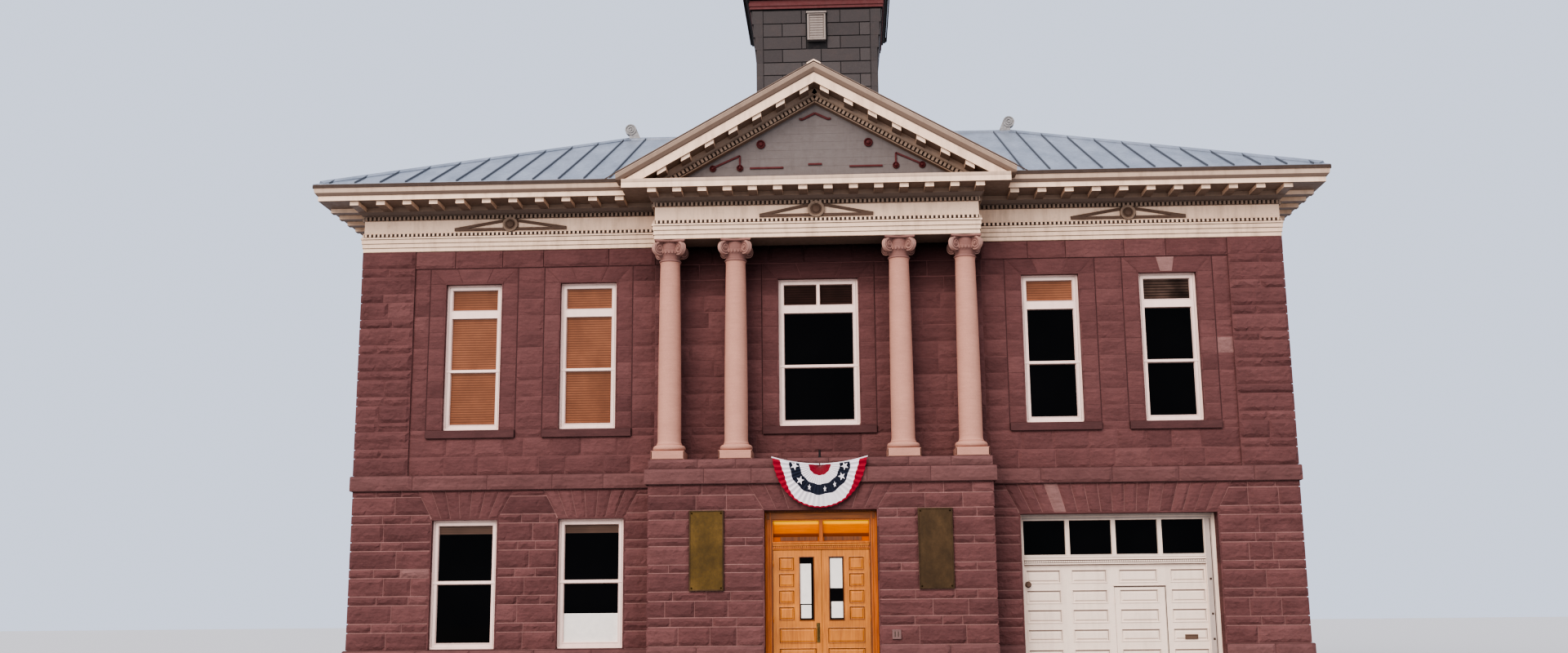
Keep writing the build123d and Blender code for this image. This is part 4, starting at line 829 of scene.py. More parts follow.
# Base courses, belt course and ledge
dressings = Pieces()
proud, block_proud = front.moved(PROUD), block_front.moved(PROUD)
for face, limits, levels, holes, length, bulge, light in (
    (proud, (-BASE_HALF, -3.35), BASE, [], 1.15, 0.035, 0.08),
    (proud, (3.35, BASE_HALF), BASE, [plain_hole(GARAGE, 0.0, 1.0)], 0.9, 0.035, 0.08),
    (block_proud, (-3.34, 3.34), BLOCK_BASE, [plain_hole(DOOR, 0.0, 1.1)], 1.1, 0.035, 0.08),
    (cheek(-BLOCK), (0.0, 0.873), BLOCK_BASE, [], 0.8, 0.035, 0.02),
    (cheek(BLOCK), (-0.873, 0.0), BLOCK_BASE, [], 0.8, 0.035, 0.02),
    (proud, (-BASE_HALF, -3.40), BELT, [], 1.25, 0.03, 0.02),
    (proud, (3.40, BASE_HALF), BELT, [], 1.25, 0.03, 0.02),
    (front.moved(0.883), (-3.41, 3.41), BELT, [], 1.2, 0.028, 0.2),
    (block_front, (-3.34, 3.34), PLINTH, [], 1.0, 0.028, 0.2),
    (cheek(-3.39), (0.06, 0.883), BELT, [], 0.8, 0.028, 0.15),
    (cheek(3.39), (-0.883, -0.06), BELT, [], 0.8, 0.028, 0.15),
    (cheek(-BLOCK), (0.0, BLOCK_OUT), PLINTH, [], 0.8, 0.025, 0.15),
    (cheek(BLOCK), (-BLOCK_OUT, 0.0), PLINTH, [], 0.8, 0.025, 0.15),
):
    lay(dressings, face, limits, levels, holes, length, 0.0, bulge, CELL, light)
dressings.build("stones_base_and_belt", [dressed], slot="belt_course")


def lay_bands(pieces, face, reach):
    """Lay the base courses and the belt course along a plain side."""
    limits = (-reach, reach)
    lay(pieces, face.moved(PROUD), limits, BASE, [], 1.1, 0.0, 0.035, COARSE, 0.08)
    lay(pieces, face.moved(PROUD), limits, BELT, [], 1.2, 0.0, 0.03, COARSE, 0.12)


# Sides and back, in larger facets
for name, face in (("left", left_side), ("right", right_side)):
    rest = Pieces()
    limits = (-HALF_DEPTH, HALF_DEPTH)
    upper_wall(rest, face, limits, side_spans, COARSE)
    lower_wall(rest, face, limits, side_spans, COARSE, 5)
    lay_bands(rest, face, HALF_DEPTH)
    rest.build("stones_" + name, [rock], slot=name + "_wall")
rest = Pieces()
row = upper_spans[:2] + [middle_span] + upper_spans[2:]
upper_wall(rest, back, (-STRIP, STRIP), row, COARSE)
lower_wall(rest, back, (-CORNER, CORNER), back_low, COARSE)
for sign in (-1, 1):
    lay(rest, back, pair(sign, STRIP, CORNER), strip_levels, [], 0.62, 0.04, 0.04, COARSE)
lay_bands(rest, back, BASE_HALF)
rest.build("stones_back", [rock], slot="back_wall")

# Window sashes and beads: profiles as inset and height, then the levels of their rails
FRAME_BEAD = [(0, -0.11), (0.004, -0.1), (0.03, -0.096), (0.036, -0.106), (0.085, -0.106)]
# A painted shadow line between the frame and the sash
FRAME_SHADOW_LINE = [(0.046, -0.108), (0.046, -0.1045), (0.054, -0.1045), (0.054, -0.108)]
LIGHT_BEAD = [(-0.02, -0.11), (-0.004, -0.105), (0.004, -0.125), (0.012, -0.165)]
TOP_LIGHT, TOP_BAR = (7.72, 8.128), (7.545, 7.715)
MEETING_RAIL = {UPPER: 6.45, LOWER: 2.213}
windows = []
for face, high_spans, low_spans in (
    (front, upper_spans + [middle_span], lower_spans),
    (left_side, side_spans, side_spans),
    (right_side, side_spans, side_spans),
    (back, upper_spans + [middle_span], back_low),
):
    windows += [(face, span, UPPER) for span in high_spans]
    windows += [(face, span, LOWER) for span in low_spans]
sash = Pieces()
for face, span, rise in windows:
    low, high = rise
    outer = (*within(span, 0.001), *within(rise, 0.001))
    rings(sash, face, outer, FRAME_BEAD, cap=False)
    # The painted shadow line, in the shaded door paint
    rings(sash, face, outer, FRAME_SHADOW_LINE, kind=1, cap=False)
    clear, foot, head = within(span, 0.112), low + 0.125, high - 0.112
    meeting = MEETING_RAIL[rise]
    tops = [clear] if rise == UPPER else []
    if tops and span == middle_span:
        tops = [(clear[0], -0.03), (0.03, clear[1])]
    lights = [(*clear, foot, meeting - 0.03)]
    lights.append((*clear, meeting + 0.03, TOP_BAR[0] if tops else head))
    lights += [(*top, TOP_BAR[1], head) for top in tops]
    for rect in lights:
        rings(sash, face, rect, LIGHT_BEAD, cap=False)
    rail = (*within(span, 0.02), *around(meeting, 0.052))
    brick(sash, face, rail, -0.112, -0.1, edge=0.006)
    foot_rail = (*within(span, 0.01), low + 0.004, low + 0.05)
    brick(sash, face, foot_rail, -0.112, -0.07, edge=0.012)
sash.build("window_beads", [white, garage_shade], slot="upper_window_frames")

PANE = -0.17


def blinds(name, material, places, slot="upper_window_glass", pitch=0.05):
    """Fill rectangles just in front of the pane with tilted slats."""
    pieces = Pieces()
    foot, lip = PANE + 0.002, PANE + 0.011
    for left, right, low, high in places:
        level = low
        while level < high - 0.004:
            top = min(level + pitch, high)
            u, v = [left, right, right, left, left, right], [level, level, top, top, top, top]
            points = front.at(u, v, [foot, foot, lip, lip, foot, foot])
            # The tones darken each slat's foot and its flat step: painted shade between the slats
            pieces.add(points, [(0, 1, 2, 3), (3, 2, 5, 4)], [0.75, 0.75, 0, 0, 0.8, 0.8])
            level += pitch
    pieces.build(name, [material], slot=slot)


drawn = [
    (*within(span), *rise)
    for span in upper_spans[:2]
    for rise in ((5.36, 6.415), (6.485, 7.54), TOP_LIGHT)
]
drawn.append((*within(upper_spans[2]), *TOP_LIGHT))
blinds("blinds_orange", orange_blind, drawn)
blinds("blinds_dark", dark_blind, [(*pair(sign, 0.03, 0.704), *TOP_LIGHT) for sign in (-1, 1)])
blinds("blinds_slatted", slat_blind, [(*within(upper_spans[3]), *TOP_LIGHT)], pitch=0.058)
rolled = [(*within(span), 3.165, 3.33) for span in lower_spans]
blinds("blinds_rolled", brown_blind, rolled, "lower_window_glass", 0.034)
board = Pieces()
rect = (*within(lower_spans[1], 0.12), 1.045, 1.60)
rings(board, front, rect, [(0, PANE + 0.001), (0, PANE + 0.012), (0.003, PANE + 0.014)])
board.build("white_window_board", [paper], slot="lower_window_glass")

# Dentils and beads of the entablatures, and a dark drip strip along the eaves
FRIEZE_OUT, GABLE_OUT, TOOTH = 0.02, 0.736, 0.0887
BEADS = ((8.945, 8.958, 0.016), (9.03, 9.042, 0.03), (9.12, 9.132, 0.045), (9.21, 9.245, 0.062))
BEADS += ((9.325, 9.337, 0.02),)
gable = front.moved(GABLE_OUT)
frieze, back_frieze = front.moved(FRIEZE_OUT), back.moved(FRIEZE_OUT)


def teeth(pieces, face, ends, count, width, rise, w0, w1, kind=0):
    """Evenly spaced small blocks along a face."""
    start, pitch = ends[0], (ends[1] - ends[0]) / count
    for number in range(count):
        middle = start + (number + 0.5) * pitch
        brick(pieces, face, (*around(middle, width), *rise), w0, w1, kind=kind)


trim = Pieces()
for face, start, end in (
    (frieze, -9.38, -3.29),
    (frieze, 3.29, 9.38),
    (gable, -3.25, 3.25),
    (back_frieze, -9.38, 9.38),
    (left_side.moved(FRIEZE_OUT), -4.82, 4.82),
    (right_side.moved(FRIEZE_OUT), -4.82, 4.82),
    (cheek(-3.25), 0.05, GABLE_OUT),
    (cheek(3.25), -GABLE_OUT, -0.05),
):
    count = round((end - start) / TOOTH)
    teeth(trim, face, (start, end), count, 0.043, (9.262, 9.32), 0.018, 0.046)
    # The upper teeth are in painted shade under the soffit, and the dark strips behind both rows
    # are painted shade in their gaps
    teeth(trim, face, (start, end), count, 0.047, (9.615, 9.682), 0.034, 0.066, 2)
    brick(trim, face, (start, end, 9.252, 9.324), 0.013, 0.019, kind=1)
    brick(trim, face, (start, end, 9.612, 9.692), 0.028, 0.035, kind=1)
    bricks(trim, face, [(start - 0.01, end + 0.01, *bead, 0, 0.003) for bead in BEADS])
trim.build("dentils_and_beads", [cream, deep_shade, dull_shaded_cream], slot="portico_entablature")

EAVES_OUT, EAVES, EAVE, GABLE_HALF = 0.855, 10.215, 5.655, 3.99
drip = Pieces()
for face, start, end in (
    (front, -EAVES, -GABLE_HALF),
    (front, GABLE_HALF, EAVES),
    (back, -EAVES, EAVES),
    (left_side, -EAVE, EAVE),
    (right_side, -EAVE, EAVE),
):
    brick(drip, face.moved(EAVES_OUT), (start, end, 10.118, 10.187), -0.01, 0.013)
drip.build("eave_drip", [deep_shade], slot="roof_front")

# Ornaments of the frieze: a roundel's profile is in shares of its radius and in heights
ROUNDEL = ((1.0, 0), (1.0, 0.03), (0.86, 0.04), (0.74, 0.03), (0.66, 0.012))
ROUNDEL += ((0.5, 0.012), (0.42, 0.034), (0.22, 0.046), (0.0, 0.05))


def roundel(pieces, face, centre, radius, w, rim=0):
    """Concentric rings with a boss, on a plane; the outer ring may take another material."""
    rows = []
    for share, height in ROUNDEL:
        ring = circle(radius * share, 28, centre)
        rows.append(face.at(ring[:, 0], ring[:, 1], w + height))
    for part, kind in ((rows[:5], rim), (rows[4:], 0)):
        pieces.add(np.concatenate(part), tube_faces(5, 28), 0.5, kind)


def frieze_ornament(pieces, face, centre, half, low, high):
    """A ringed roundel between two long thin triangles of bars."""
    middle = (low + high) / 2
    roundel(pieces, face, (centre, middle), (high - low) / 2 + 0.035, 0.026, 1)
    bricks(pieces, face, [(centre - 0.16, centre + 0.16, low - 0.01, high - 0.01, 0.026, 0, 0.005)])
    for sign in (-1, 1):
        tip = centre + sign * half
        near = centre + sign * 0.12
        bar(pieces, face, (near, high - 0.04), (tip, low + 0.03), 0.054, 0.03)
        bar(pieces, face, (near, low + 0.02), (tip, low + 0.02), 0.054, 0.032)


ornament = Pieces()
for face in (frieze, back_frieze):
    for x in (-6.33, 6.33):
        frieze_ornament(ornament, face, x, 1.16, 9.372, 9.612)
frieze_ornament(ornament, gable, 0.0, 1.14, 9.367, 9.64)
ornament.build(
    "frieze_ornaments", [bronze_trim, dull_shaded_cream], slot="portico_entablature", smooth=35
)

# Pediment: strips and dentils along the rake, the cap on its point and the tympanum.
# A strip is its depth below the roof line, its height, its two heights w, kind and edge.
# Below the first strip, the kind 1 and 3 strips and the kind 2 strips and dentils are painted shade
# under the rake; the first strip is a dark line along the top lip
RAKE_STRIPS = (
    (0.010, 0.022, 0.598, 0.603, 1, 0.0),
    (0.37, 0.11, 0.10, 0.113, 3, 0.0),
    (0.505, 0.10, 0.10, 0.113, 1, 0.0),
    (0.485, 0.018, 0.10, 0.135, 2, 0.004),
    (0.605, 0.018, 0.10, 0.13, 2, 0.004),
)
SOFFIT_Z = 10.06
rake = math.atan(SLOPE)
pediment = Pieces()
for sign in (-1, 1):
    along = (math.cos(rake), 0, -sign * math.sin(rake))
    upward = (sign * math.sin(rake), 0, math.cos(rake))
    plane = Face((0, -HALF_DEPTH - GABLE_OUT, APEX), along, upward)
    for depth, height, w0, w1, kind, edge in RAKE_STRIPS:
        foot = (APEX - SOFFIT_Z - depth * math.cos(rake)) / math.sin(rake)
        rect = (*pair(sign, depth * SLOPE, foot), -depth - height, -depth)
        brick(pediment, plane, rect, w0, w1, 0.5, kind, edge)
    for number in range(40):
        u = sign * (0.36 + number * TOOTH)
        brick(pediment, plane, (*around(u, 0.054), -0.592, -0.512), 0.10, 0.152, kind=2)
paints = [cream, deep_shade, dull_shaded_cream, soffit_shade_paint]
pediment.build("rake_dentils", paints, slot="raking_cornices")
crest = Pieces()
fold = [(-0.14, 12.355), (0, 12.43), (0.14, 12.355), (0.14, 12.386), (0.0, 12.462), (-0.14, 12.386)]
closed_prism(crest, front, fold, 1.02, 1.345)
crest.build("pediment_cap", [cream], slot="raking_cornices")

mark = Pieces()
sunk = gable.moved(0.002)
for sign in (-1, 1):
    bar(mark, sunk, (sign * 0.27, 11.383), (0.0, 11.515), 0.04, 0.028)
    bar(mark, sunk, (sign * 0.265, 11.383), (sign * 0.32, 11.40), 0.035, 0.028)
for near, far, middle in ((-1.53, -2.078, -1.103), (1.62, 2.147, 1.072)):
    roundel(mark, sunk, (middle, 10.875), 0.088, 0.0)
    roundel(mark, sunk, (near, 10.385), 0.066, 0.0)
    roundel(mark, sunk, (far, 10.385), 0.066, 0.0)
    bar(mark, sunk, (near, 10.40), (near, 10.645), 0.035, 0.024)
    bar(mark, sunk, (near, 10.645), (far, 10.40), 0.035, 0.024)
for left, right, v in ((-1.327, -0.652, 10.38), (0.683, 1.349, 10.384), (-0.149, 0.127, 10.441)):
    bar(mark, sunk, (left, v), (right, v), 0.034, 0.024)
mark.build("tympanum_ornament", [red_trim], slot="tympanum", smooth=35)
boards = Pieces()
for number in range(9):
    level = SOFFIT_Z + number * 0.17
    half = (APEX - 0.76 - level - 0.17) / SLOPE
    rect = (-half, half, level + 0.002, level + 0.166)
    brick(boards, gable, rect, -0.001, 0.0022, edge=0.0015)
boards.build("tympanum_boards", [tympanum_paint], slot="tympanum")

# Standing seams of the roof: its ridge, its fall for each metre and where seams stop
RIDGE, RIDGE_Z = 4.56, 12.77
PITCH = (RIDGE_Z - 10.2) / 5.66
SEAM_PITCH, GABLE_PITCH, GABLE_CLEAR, TOWER_CLEAR = 0.52, 0.45, 3.98, 1.45


def seam(pieces, foot, head, lift=0.036, width=0.034):
    """A standing seam from the foot to the head of a slope, both points in the model's frame."""
    foot, head = np.array(foot, float), np.array(head, float)
    run = (head - foot) / np.linalg.norm(head - foot)
    side = np.cross(run, (0, 0, 1.0))
    side /= np.linalg.norm(side)
    up = np.cross(side, run)
    points = []
    for end in (foot, head):
        for across, rise in ((-0.5, -0.004), (0.5, -0.004), (0.28, lift), (-0.28, lift)):
            points.append(end + side * across * width + up * rise)
    sides = [(i, 4 + i, 4 + (i + 1) % 4, (i + 1) % 4) for i in range(4)]
    pieces.add(points, [(0, 1, 2, 3), (7, 6, 5, 4)] + sides)


def roof_z(reach):
    """The height of the main roof at a distance from its ridge."""
    return RIDGE_Z - PITCH * reach


seams = Pieces()
for sign in (-1, 1):
    for number in range(-19, 20):
        x = number * SEAM_PITCH
        if sign > 0 or abs(x) >= GABLE_CLEAR:
            top = TOWER_CLEAR if abs(x) < TOWER_CLEAR else max(abs(x) - RIDGE, 0.02)
            seam(seams, (x, sign * EAVE, roof_z(EAVE)), (x, sign * top, roof_z(top)))
    for number in range(-10, 11):
        y = number * SEAM_PITCH
        top = abs(y) + 0.02
        foot = (sign * (RIDGE + EAVE), y, roof_z(EAVE))
        seam(seams, foot, (sign * (RIDGE + top), y, roof_z(top)))
for sign in (-1, 1):
    for number in range(1, 11):
        y, top = -6.1 + number * GABLE_PITCH, 0.1
        foot = min(3.95, (APEX - roof_z(-y)) / SLOPE)
        ends = [(sign * reach, y, APEX - SLOPE * reach) for reach in (foot, top)]
        seam(seams, *ends)
seams.build("roof_seams", [seam_metal], slot="roof_front")


def wedge(inner, outer, start, end, level=0.0):
    """The corners of a ring's part between two radii and two angles."""
    corners = ((inner, start), (outer, start), (outer, end), (inner, end))
    return [np.add(polar(*corner), (0, level)) for corner in corners]


# Scrolls of the ridge finials: rims, spiral bands and eyes on both faces
scrolls = Pieces()
turns = np.linspace(0, 2 * math.pi, 25)
for sign in (-1, 1):
    for way in (-1, 1):
        plane = Face((sign * 4.53, -way * 0.065, 12.997), (way, 0, 0))
        for start, end in zip(turns, turns[1:]):
            for radius in (0.135, 0.078):
                quad = wedge(radius - 0.026, radius, start, end)
                closed_prism(scrolls, plane, quad, -0.004, 0.014)
        closed_prism(scrolls, plane, circle(0.026, 12), -0.004, 0.02)
scrolls.build("finial_scrolls", [weathered_zinc], slot="ridge_finials")

# Tower: slabs between corner strips, flaring towards the band, and open for the vent in front
SLAB = [(0, -0.01), (0, 0.012), (0.005, 0.017)]
SLAB_ENDS, SLAB_WIDTH, VENT_GAP, VENT_FROM = 1.25, 0.9, 0.24, 14.3
TOWER_HALF, FLARE, FLARE_FROM, FLARE_RISE = 1.39, 0.13, 14.1, 1.28
slab_levels = [12.0, 12.27, 12.575, 12.88, 13.185, 13.49, 13.81, 14.12, 14.43, 14.73, 15.04, 15.35]


def tower_half(level):
    """Half the tower's width at a level."""
    return TOWER_HALF + FLARE * max(0.0, level - FLARE_FROM) / FLARE_RISE


tower = Pieces()
for turn, (along, out, _) in enumerate(quarters(0)):
    for row, (low, high) in enumerate(zip(slab_levels, slab_levels[1:])):
        half_low, half_high = tower_half(low), tower_half(high)
        lean = (half_high - half_low) / (high - low)
        plane = Face(out * (half_low - lean * low), along, (0, 0, 1.0) + out * lean)
        plane.out = out
        edges = np.arange(-SLAB_ENDS - SLAB_WIDTH / 2 * (row % 2), 1.6, SLAB_WIDTH)
        stops = [-SLAB_ENDS, *(edge for edge in edges if -1.2 < edge < 1.2), SLAB_ENDS]
        for left, right in zip(stops, stops[1:]):
            parts = [(left, right)]
            if turn == 0 and low > VENT_FROM and right > -0.27 and left < 0.27:
                parts = [(left, min(right, -VENT_GAP)), (max(left, VENT_GAP), right)]
            for start, end in parts:
                if end - start > 0.05:
                    rect = (start + 0.006, end - 0.006, low + 0.008, high - 0.006)
                    rings(tower, plane, rect, SLAB, random.uniform(0.4, 0.9))
        for sign in (-1, 1):
            rect = (*pair(sign, SLAB_ENDS, half_low + 0.015), low - 0.002, high + 0.002)
            brick(tower, plane, rect, -0.01, 0.022, 0.45, edge=0.004)
tower.build("tower_cladding", [cladding], slot="tower_walls")

vent = Pieces()
vent_face = Face((0, -1.42, 0), (1, 0, 0))
for number in range(9):
    level = 14.66 + number * 0.062
    louvre = (-0.16, 0.16, level, level + 0.05)
    rings(vent, vent_face, louvre, [(0, 0.11), (0.0, 0.128), (0.012, 0.134)])
casing = [(0, 0.0), (0, 0.145), (0.012, 0.15), (0.04, 0.15), (0.045, 0.12)]
rings(vent, vent_face, (-0.215, 0.215, 14.61, 15.27), casing, cap=False)
bricks(vent, vent_face, [(-0.24, 0.24, 15.26, 15.31, 0.175, 0, 0.008)])
vent.build("tower_vent_louvres", [cream_dark], slot="tower_vent")

# Belfry: bases, pilasters, archivolts and keystones; the seams of its roof; the band below it
BELFRY_HALF, BELFRY_FOOT, ARCH_RADIUS, SPRING = 1.25, 15.9, 0.75, 16.5
belfry = Pieces()
for _, _, plane in quarters(BELFRY_HALF):
    for sign in (-1, 1):
        left, right = pair(sign, 0.86, BELFRY_HALF)
        brick(belfry, plane, (left, right, BELFRY_FOOT, 16.05), -0.01, 0.035, edge=0.01)
        brick(belfry, plane, (left + 0.03, right - 0.03, 16.05, 17.28), -0.01, 0.018, edge=0.006)
        brick(belfry, plane, (left, right, 17.28, 17.36), -0.01, 0.045, edge=0.01)
    brick(belfry, plane, (-1.27, 1.27, 17.42, 17.5), -0.01, 0.05, edge=0.012)
    turns = np.linspace(0, math.pi, 17)
    for start, end in zip(turns, turns[1:]):
        quad = wedge(ARCH_RADIUS, ARCH_RADIUS + 0.11, start, end, SPRING)
        closed_prism(belfry, plane, quad, -0.02, 0.03)
    closed_prism(belfry, plane, [(-0.07, 17.2), (0.07, 17.2), (0.1, 17.4), (-0.1, 17.4)], 0.0, 0.06)
belfry.build("belfry_trim", [cream], slot="belfry")

SPIRE_EAVE, SPIRE_FOOT, SPIRE_PITCH, SPIRE_TOP = 1.615, np.array([0, 0, 17.69]), 1.25 / 1.56, 0.07
spire = Pieces()
for along, out, _ in quarters(0):
    for number in range(-3, 4):
        x = number * 0.42
        reach = max(abs(x), SPIRE_TOP)
        rise = SPIRE_PITCH * (1.62 - reach)
        foot = along * x + out * SPIRE_EAVE + SPIRE_FOOT
        seam(spire, foot, along * x + out * reach + SPIRE_FOOT + (0, 0, rise))
    corner = (along + out) * SPIRE_EAVE + SPIRE_FOOT
    seam(spire, corner, (along + out) * SPIRE_TOP + (0, 0, 18.9), 0.05, 0.07)
spire.build("spire_seams", [seam_metal], slot="tower_roof")

band = Pieces()
for _, _, plane in quarters(1.55):
    for out, half, low, high, w0, w1, kind, edge in (
        (0.0, 1.56, 15.385, 15.61, -0.01, 0.012, 0, 0.006),
        (0.0, 1.575, 15.45, 15.55, 0.0, 0.03, 0, 0.012),
        (0.07, 1.63, 15.625, 15.695, -0.01, 0.012, 1, 0.01),
        (0.17, 1.725, 15.74, 15.86, -0.01, 0.012, 1, 0.01),
    ):
        brick(band, plane.moved(out), (-half, half, low, high), w0, w1, 0.5, kind, edge)
band.build("tower_band", [band_red, cladding], slot="tower_cornice")

# Columns and capitals
COLUMNS_X, COLUMN_Y = (-2.9625, -1.64, 1.64, 2.9625), -5.266
FOOT, NECK, FOOT_Z, NECK_Z = 0.233, 0.199, 4.91, 8.46
shaft = torus(0.262, 4.7525, 0.06, 0.0625, 9)
shaft += [(0.262, 4.815), (0.255, 4.82), (0.255, 4.838), (0.246, 4.845), (0.238, 4.87)]
shaft.append((FOOT, FOOT_Z))
for step in range(1, 17):
    share = step / 16
    swell = 1 - share ** 1.9
    shaft.append((NECK + (FOOT - NECK) * swell, FOOT_Z + (NECK_Z - FOOT_Z) * share))
shaft += [(NECK + 0.004, 8.48), (0.208, 8.50)]
bell = [(0.199, 8.53), (0.2, 8.60), (0.212, 8.635), (0.236, 8.668), (0.246, 8.70), (0.24, 8.73)]
bell += [(0.225, 8.745), (0.225, 8.89)]
LEVEL = ((1, 0, 0), (0, 1, 0))
SCROLL_Z, SCROLL_REACH, SCROLL_STEPS = 8.764, 0.302, 40


def volute(pieces, plane, way):
    """One scroll of a capital: disc, spiral roll, eye and its link to the middle."""
    reach = SCROLL_REACH * way
    closed_prism(pieces, plane, circle(0.128, 28, (reach, 0)), -0.001, 0.036, 0.35)
    outer, inner = [], []
    for number in range(SCROLL_STEPS + 1):
        share = number / SCROLL_STEPS
        radius = 0.136 * (0.028 / 0.136) ** share
        angle = math.pi / 2 - way * share * 2.25 * 2 * math.pi
        outer.append(np.add(polar(radius, angle), (reach, 0)))
        inner.append(np.add(polar(radius * 0.73, angle), (reach, 0)))
    rows = []
    for share, w in ((0, 0.03), (0, 0.043), (0.4, 0.049), (0.7, 0.047), (1, 0.036)):
        line = np.array(outer) * (1 - share) + np.array(inner) * share
        rows.append(plane.at(line[:, 0], line[:, 1], w))
    faces, size = [], SCROLL_STEPS + 1
    for row in range(len(rows) - 1):
        for a in range(row * size, row * size + SCROLL_STEPS):
            faces.append((a, a + 1, a + size + 1, a + size)[::-way])
    pieces.add(np.concatenate(rows), faces, 0.85)
    closed_prism(pieces, plane, circle(0.03, 14, (reach, 0)), 0.03, 0.052, 0.65)
    link = pair(way, 0.12, SCROLL_REACH)
    brick(pieces, plane, (*link, 0.0, 0.128), -0.001, 0.03, 0.4)
    brick(pieces, plane, (*link, 0.104, 0.134), -0.001, 0.044, 0.55, edge=0.006)
    brick(pieces, plane, (*link, 0.0, 0.018), -0.001, 0.04, 0.5, edge=0.006)


def scroll_edge(pieces, plane):
    """The rolled strip between the two faces of a corner scroll."""
    points, faces = [], []
    for number in range(15):
        angle = math.pi / 2 - number / 14 * math.pi * 1.15
        for w in (-0.044, 0.044):
            for radius in (0.126, 0.138):
                u, v = polar(radius, angle)
                points.append(plane.at(SCROLL_REACH + u, v, w)[0])
    for a in range(0, 4 * 14, 4):
        faces += [(a + 1, a + 5, a + 7, a + 3), (a, a + 4, a + 5, a + 1)]
        faces.append((a + 3, a + 7, a + 6, a + 2))
    pieces.add(points, faces, 1.0)


def capital(pieces, x, y):
    """An Ionic capital: ring, bell, eggs, hollow-sided plate and a scroll on each diagonal."""
    lathe(pieces, (x, y), torus(0.204, 8.521, 0.022, 0.021, 7), 48)
    lathe(pieces, (x, y), bell, 48, 0.45)
    for turn in np.linspace(0, 2 * math.pi, 24, endpoint=False):
        u, v = polar(0.232, turn)
        egg = Face((x + u, y + v, 0), (-math.sin(turn), math.cos(turn), 0))
        closed_prism(pieces, egg, circle((0.02, 0.032), 8, (0, 8.69)), -0.01, 0.022, 0.6)
    plate = []
    for along, out, _ in quarters(0):
        for share in np.linspace(-1, 1, 9)[:-1]:
            dent = 0.055 * (1 - share * share)
            plate.append((along * 0.268 * share + out * (0.305 - dent))[:2])
    for size, low, high, tone in ((1.0, 8.893, 8.905, 0.5), (1.04, 8.905, 8.938, 0.55)):
        outline = np.array(plate) * size + (x, y)
        closed_prism(pieces, Face((0, 0, 0), *LEVEL), outline, low, high, tone)
    for quarter in range(4):
        outward = np.array((*polar(1, math.pi / 4 + quarter * math.pi / 2), 0))
        for way in (-1, 1):
            volute(pieces, Face((x, y, SCROLL_Z), outward * way), way)
        scroll_edge(pieces, Face((x, y, SCROLL_Z), outward))


shafts, caps = Pieces(), Pieces()
for x in COLUMNS_X:
    lathe(shafts, (x, COLUMN_Y), shaft, 64)
    for _, _, plane in quarters(0.318, (x, COLUMN_Y, 0)):
        brick(shafts, plane, (-0.33, 0.33, 4.52, 4.69), -0.01, 0.012, 0.4, edge=0.012)
    top = Face((x, COLUMN_Y, 4.69), *LEVEL)
    rings(shafts, top, (-0.318, 0.318, -0.318, 0.318), [(0, -0.01), (0, 0.0)], 0.4)
    capital(caps, x, COLUMN_Y)
column_piece = shafts.build("column_shafts", [column_stone], slot="columns", smooth=40)
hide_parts("columns")
capital_piece = caps.build("capital_carving", [capital_stone], slot="column_capitals", smooth=35)
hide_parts("column_capitals")

# Entrance: mouldings of the frame and the leaves
LEAF_OUT, LEAVES, FRAME = 0.55, (-0.936, 0.936), (-1.086, 1.086)
door_face = front.moved(LEAF_OUT)
door_trim = Pieces()
teeth(door_trim, door_face, (-0.92, 0.92), 46, 0.022, (2.80, 2.835), 0.0, 0.022)
# The head's kind 3 and kind 2 strips are painted shade under the arch
bricks(door_trim, door_face, [
    (*LEAVES, 2.84, 2.872, 0.03, 0, 0.006),
    (*LEAVES, 2.768, 2.785, 0.018, 0, 0.004),
    (*LEAVES, 2.885, 2.91, 0.014, 0, 0.004),
    (*FRAME, 3.345, 3.48, 0.014, 3, 0.006),
    (*FRAME, 3.484, 3.518, 0.02, 2, 0.004),
])
casing = [(0, 0.0), (0, 0.012), (0.008, 0.016), (0.03, 0.016), (0.036, 0.008)]
glazing = [(-0.012, 0.0), (-0.012, 0.012), (0.006, 0.012), (0.012, -0.06)]
for sign in (-1, 1):
    rings(door_trim, door_face, (*pair(sign, 0.962, 1.085), 0.152, 3.515), casing, kind=1)
    # Strips of the shaded varnish beside the leaves: painted shade in the gaps
    bricks(door_trim, door_face, [(*pair(sign, 0.936, 0.960), 0.155, 3.34, 0.006, 2, 0)])
    light = (*pair(sign, 0.032, 0.934), 2.917, 3.328)
    rings(door_trim, door_face, light, glazing, kind=1, cap=False)
varnishes = [varnish, varnish_frame, varnish_dark, head_shade_varnish]
door_trim.build("door_frame_mouldings", varnishes, slot="door_frame")

lit, shelf = Pieces(), Pieces()
for sign in (-1, 1):
    brick(lit, door_face, (*pair(sign, 0.034, 0.932), 2.918, 3.327), -0.07, -0.0655)
    brick(shelf, door_face, (*pair(sign, 0.06, 0.79), 2.935, 3.015), -0.066, -0.062)
lit.build("lit_transom", [lit_room], slot="transom_glass")
shelf.build("transom_shelf", [varnish_dark], slot="transom_glass")

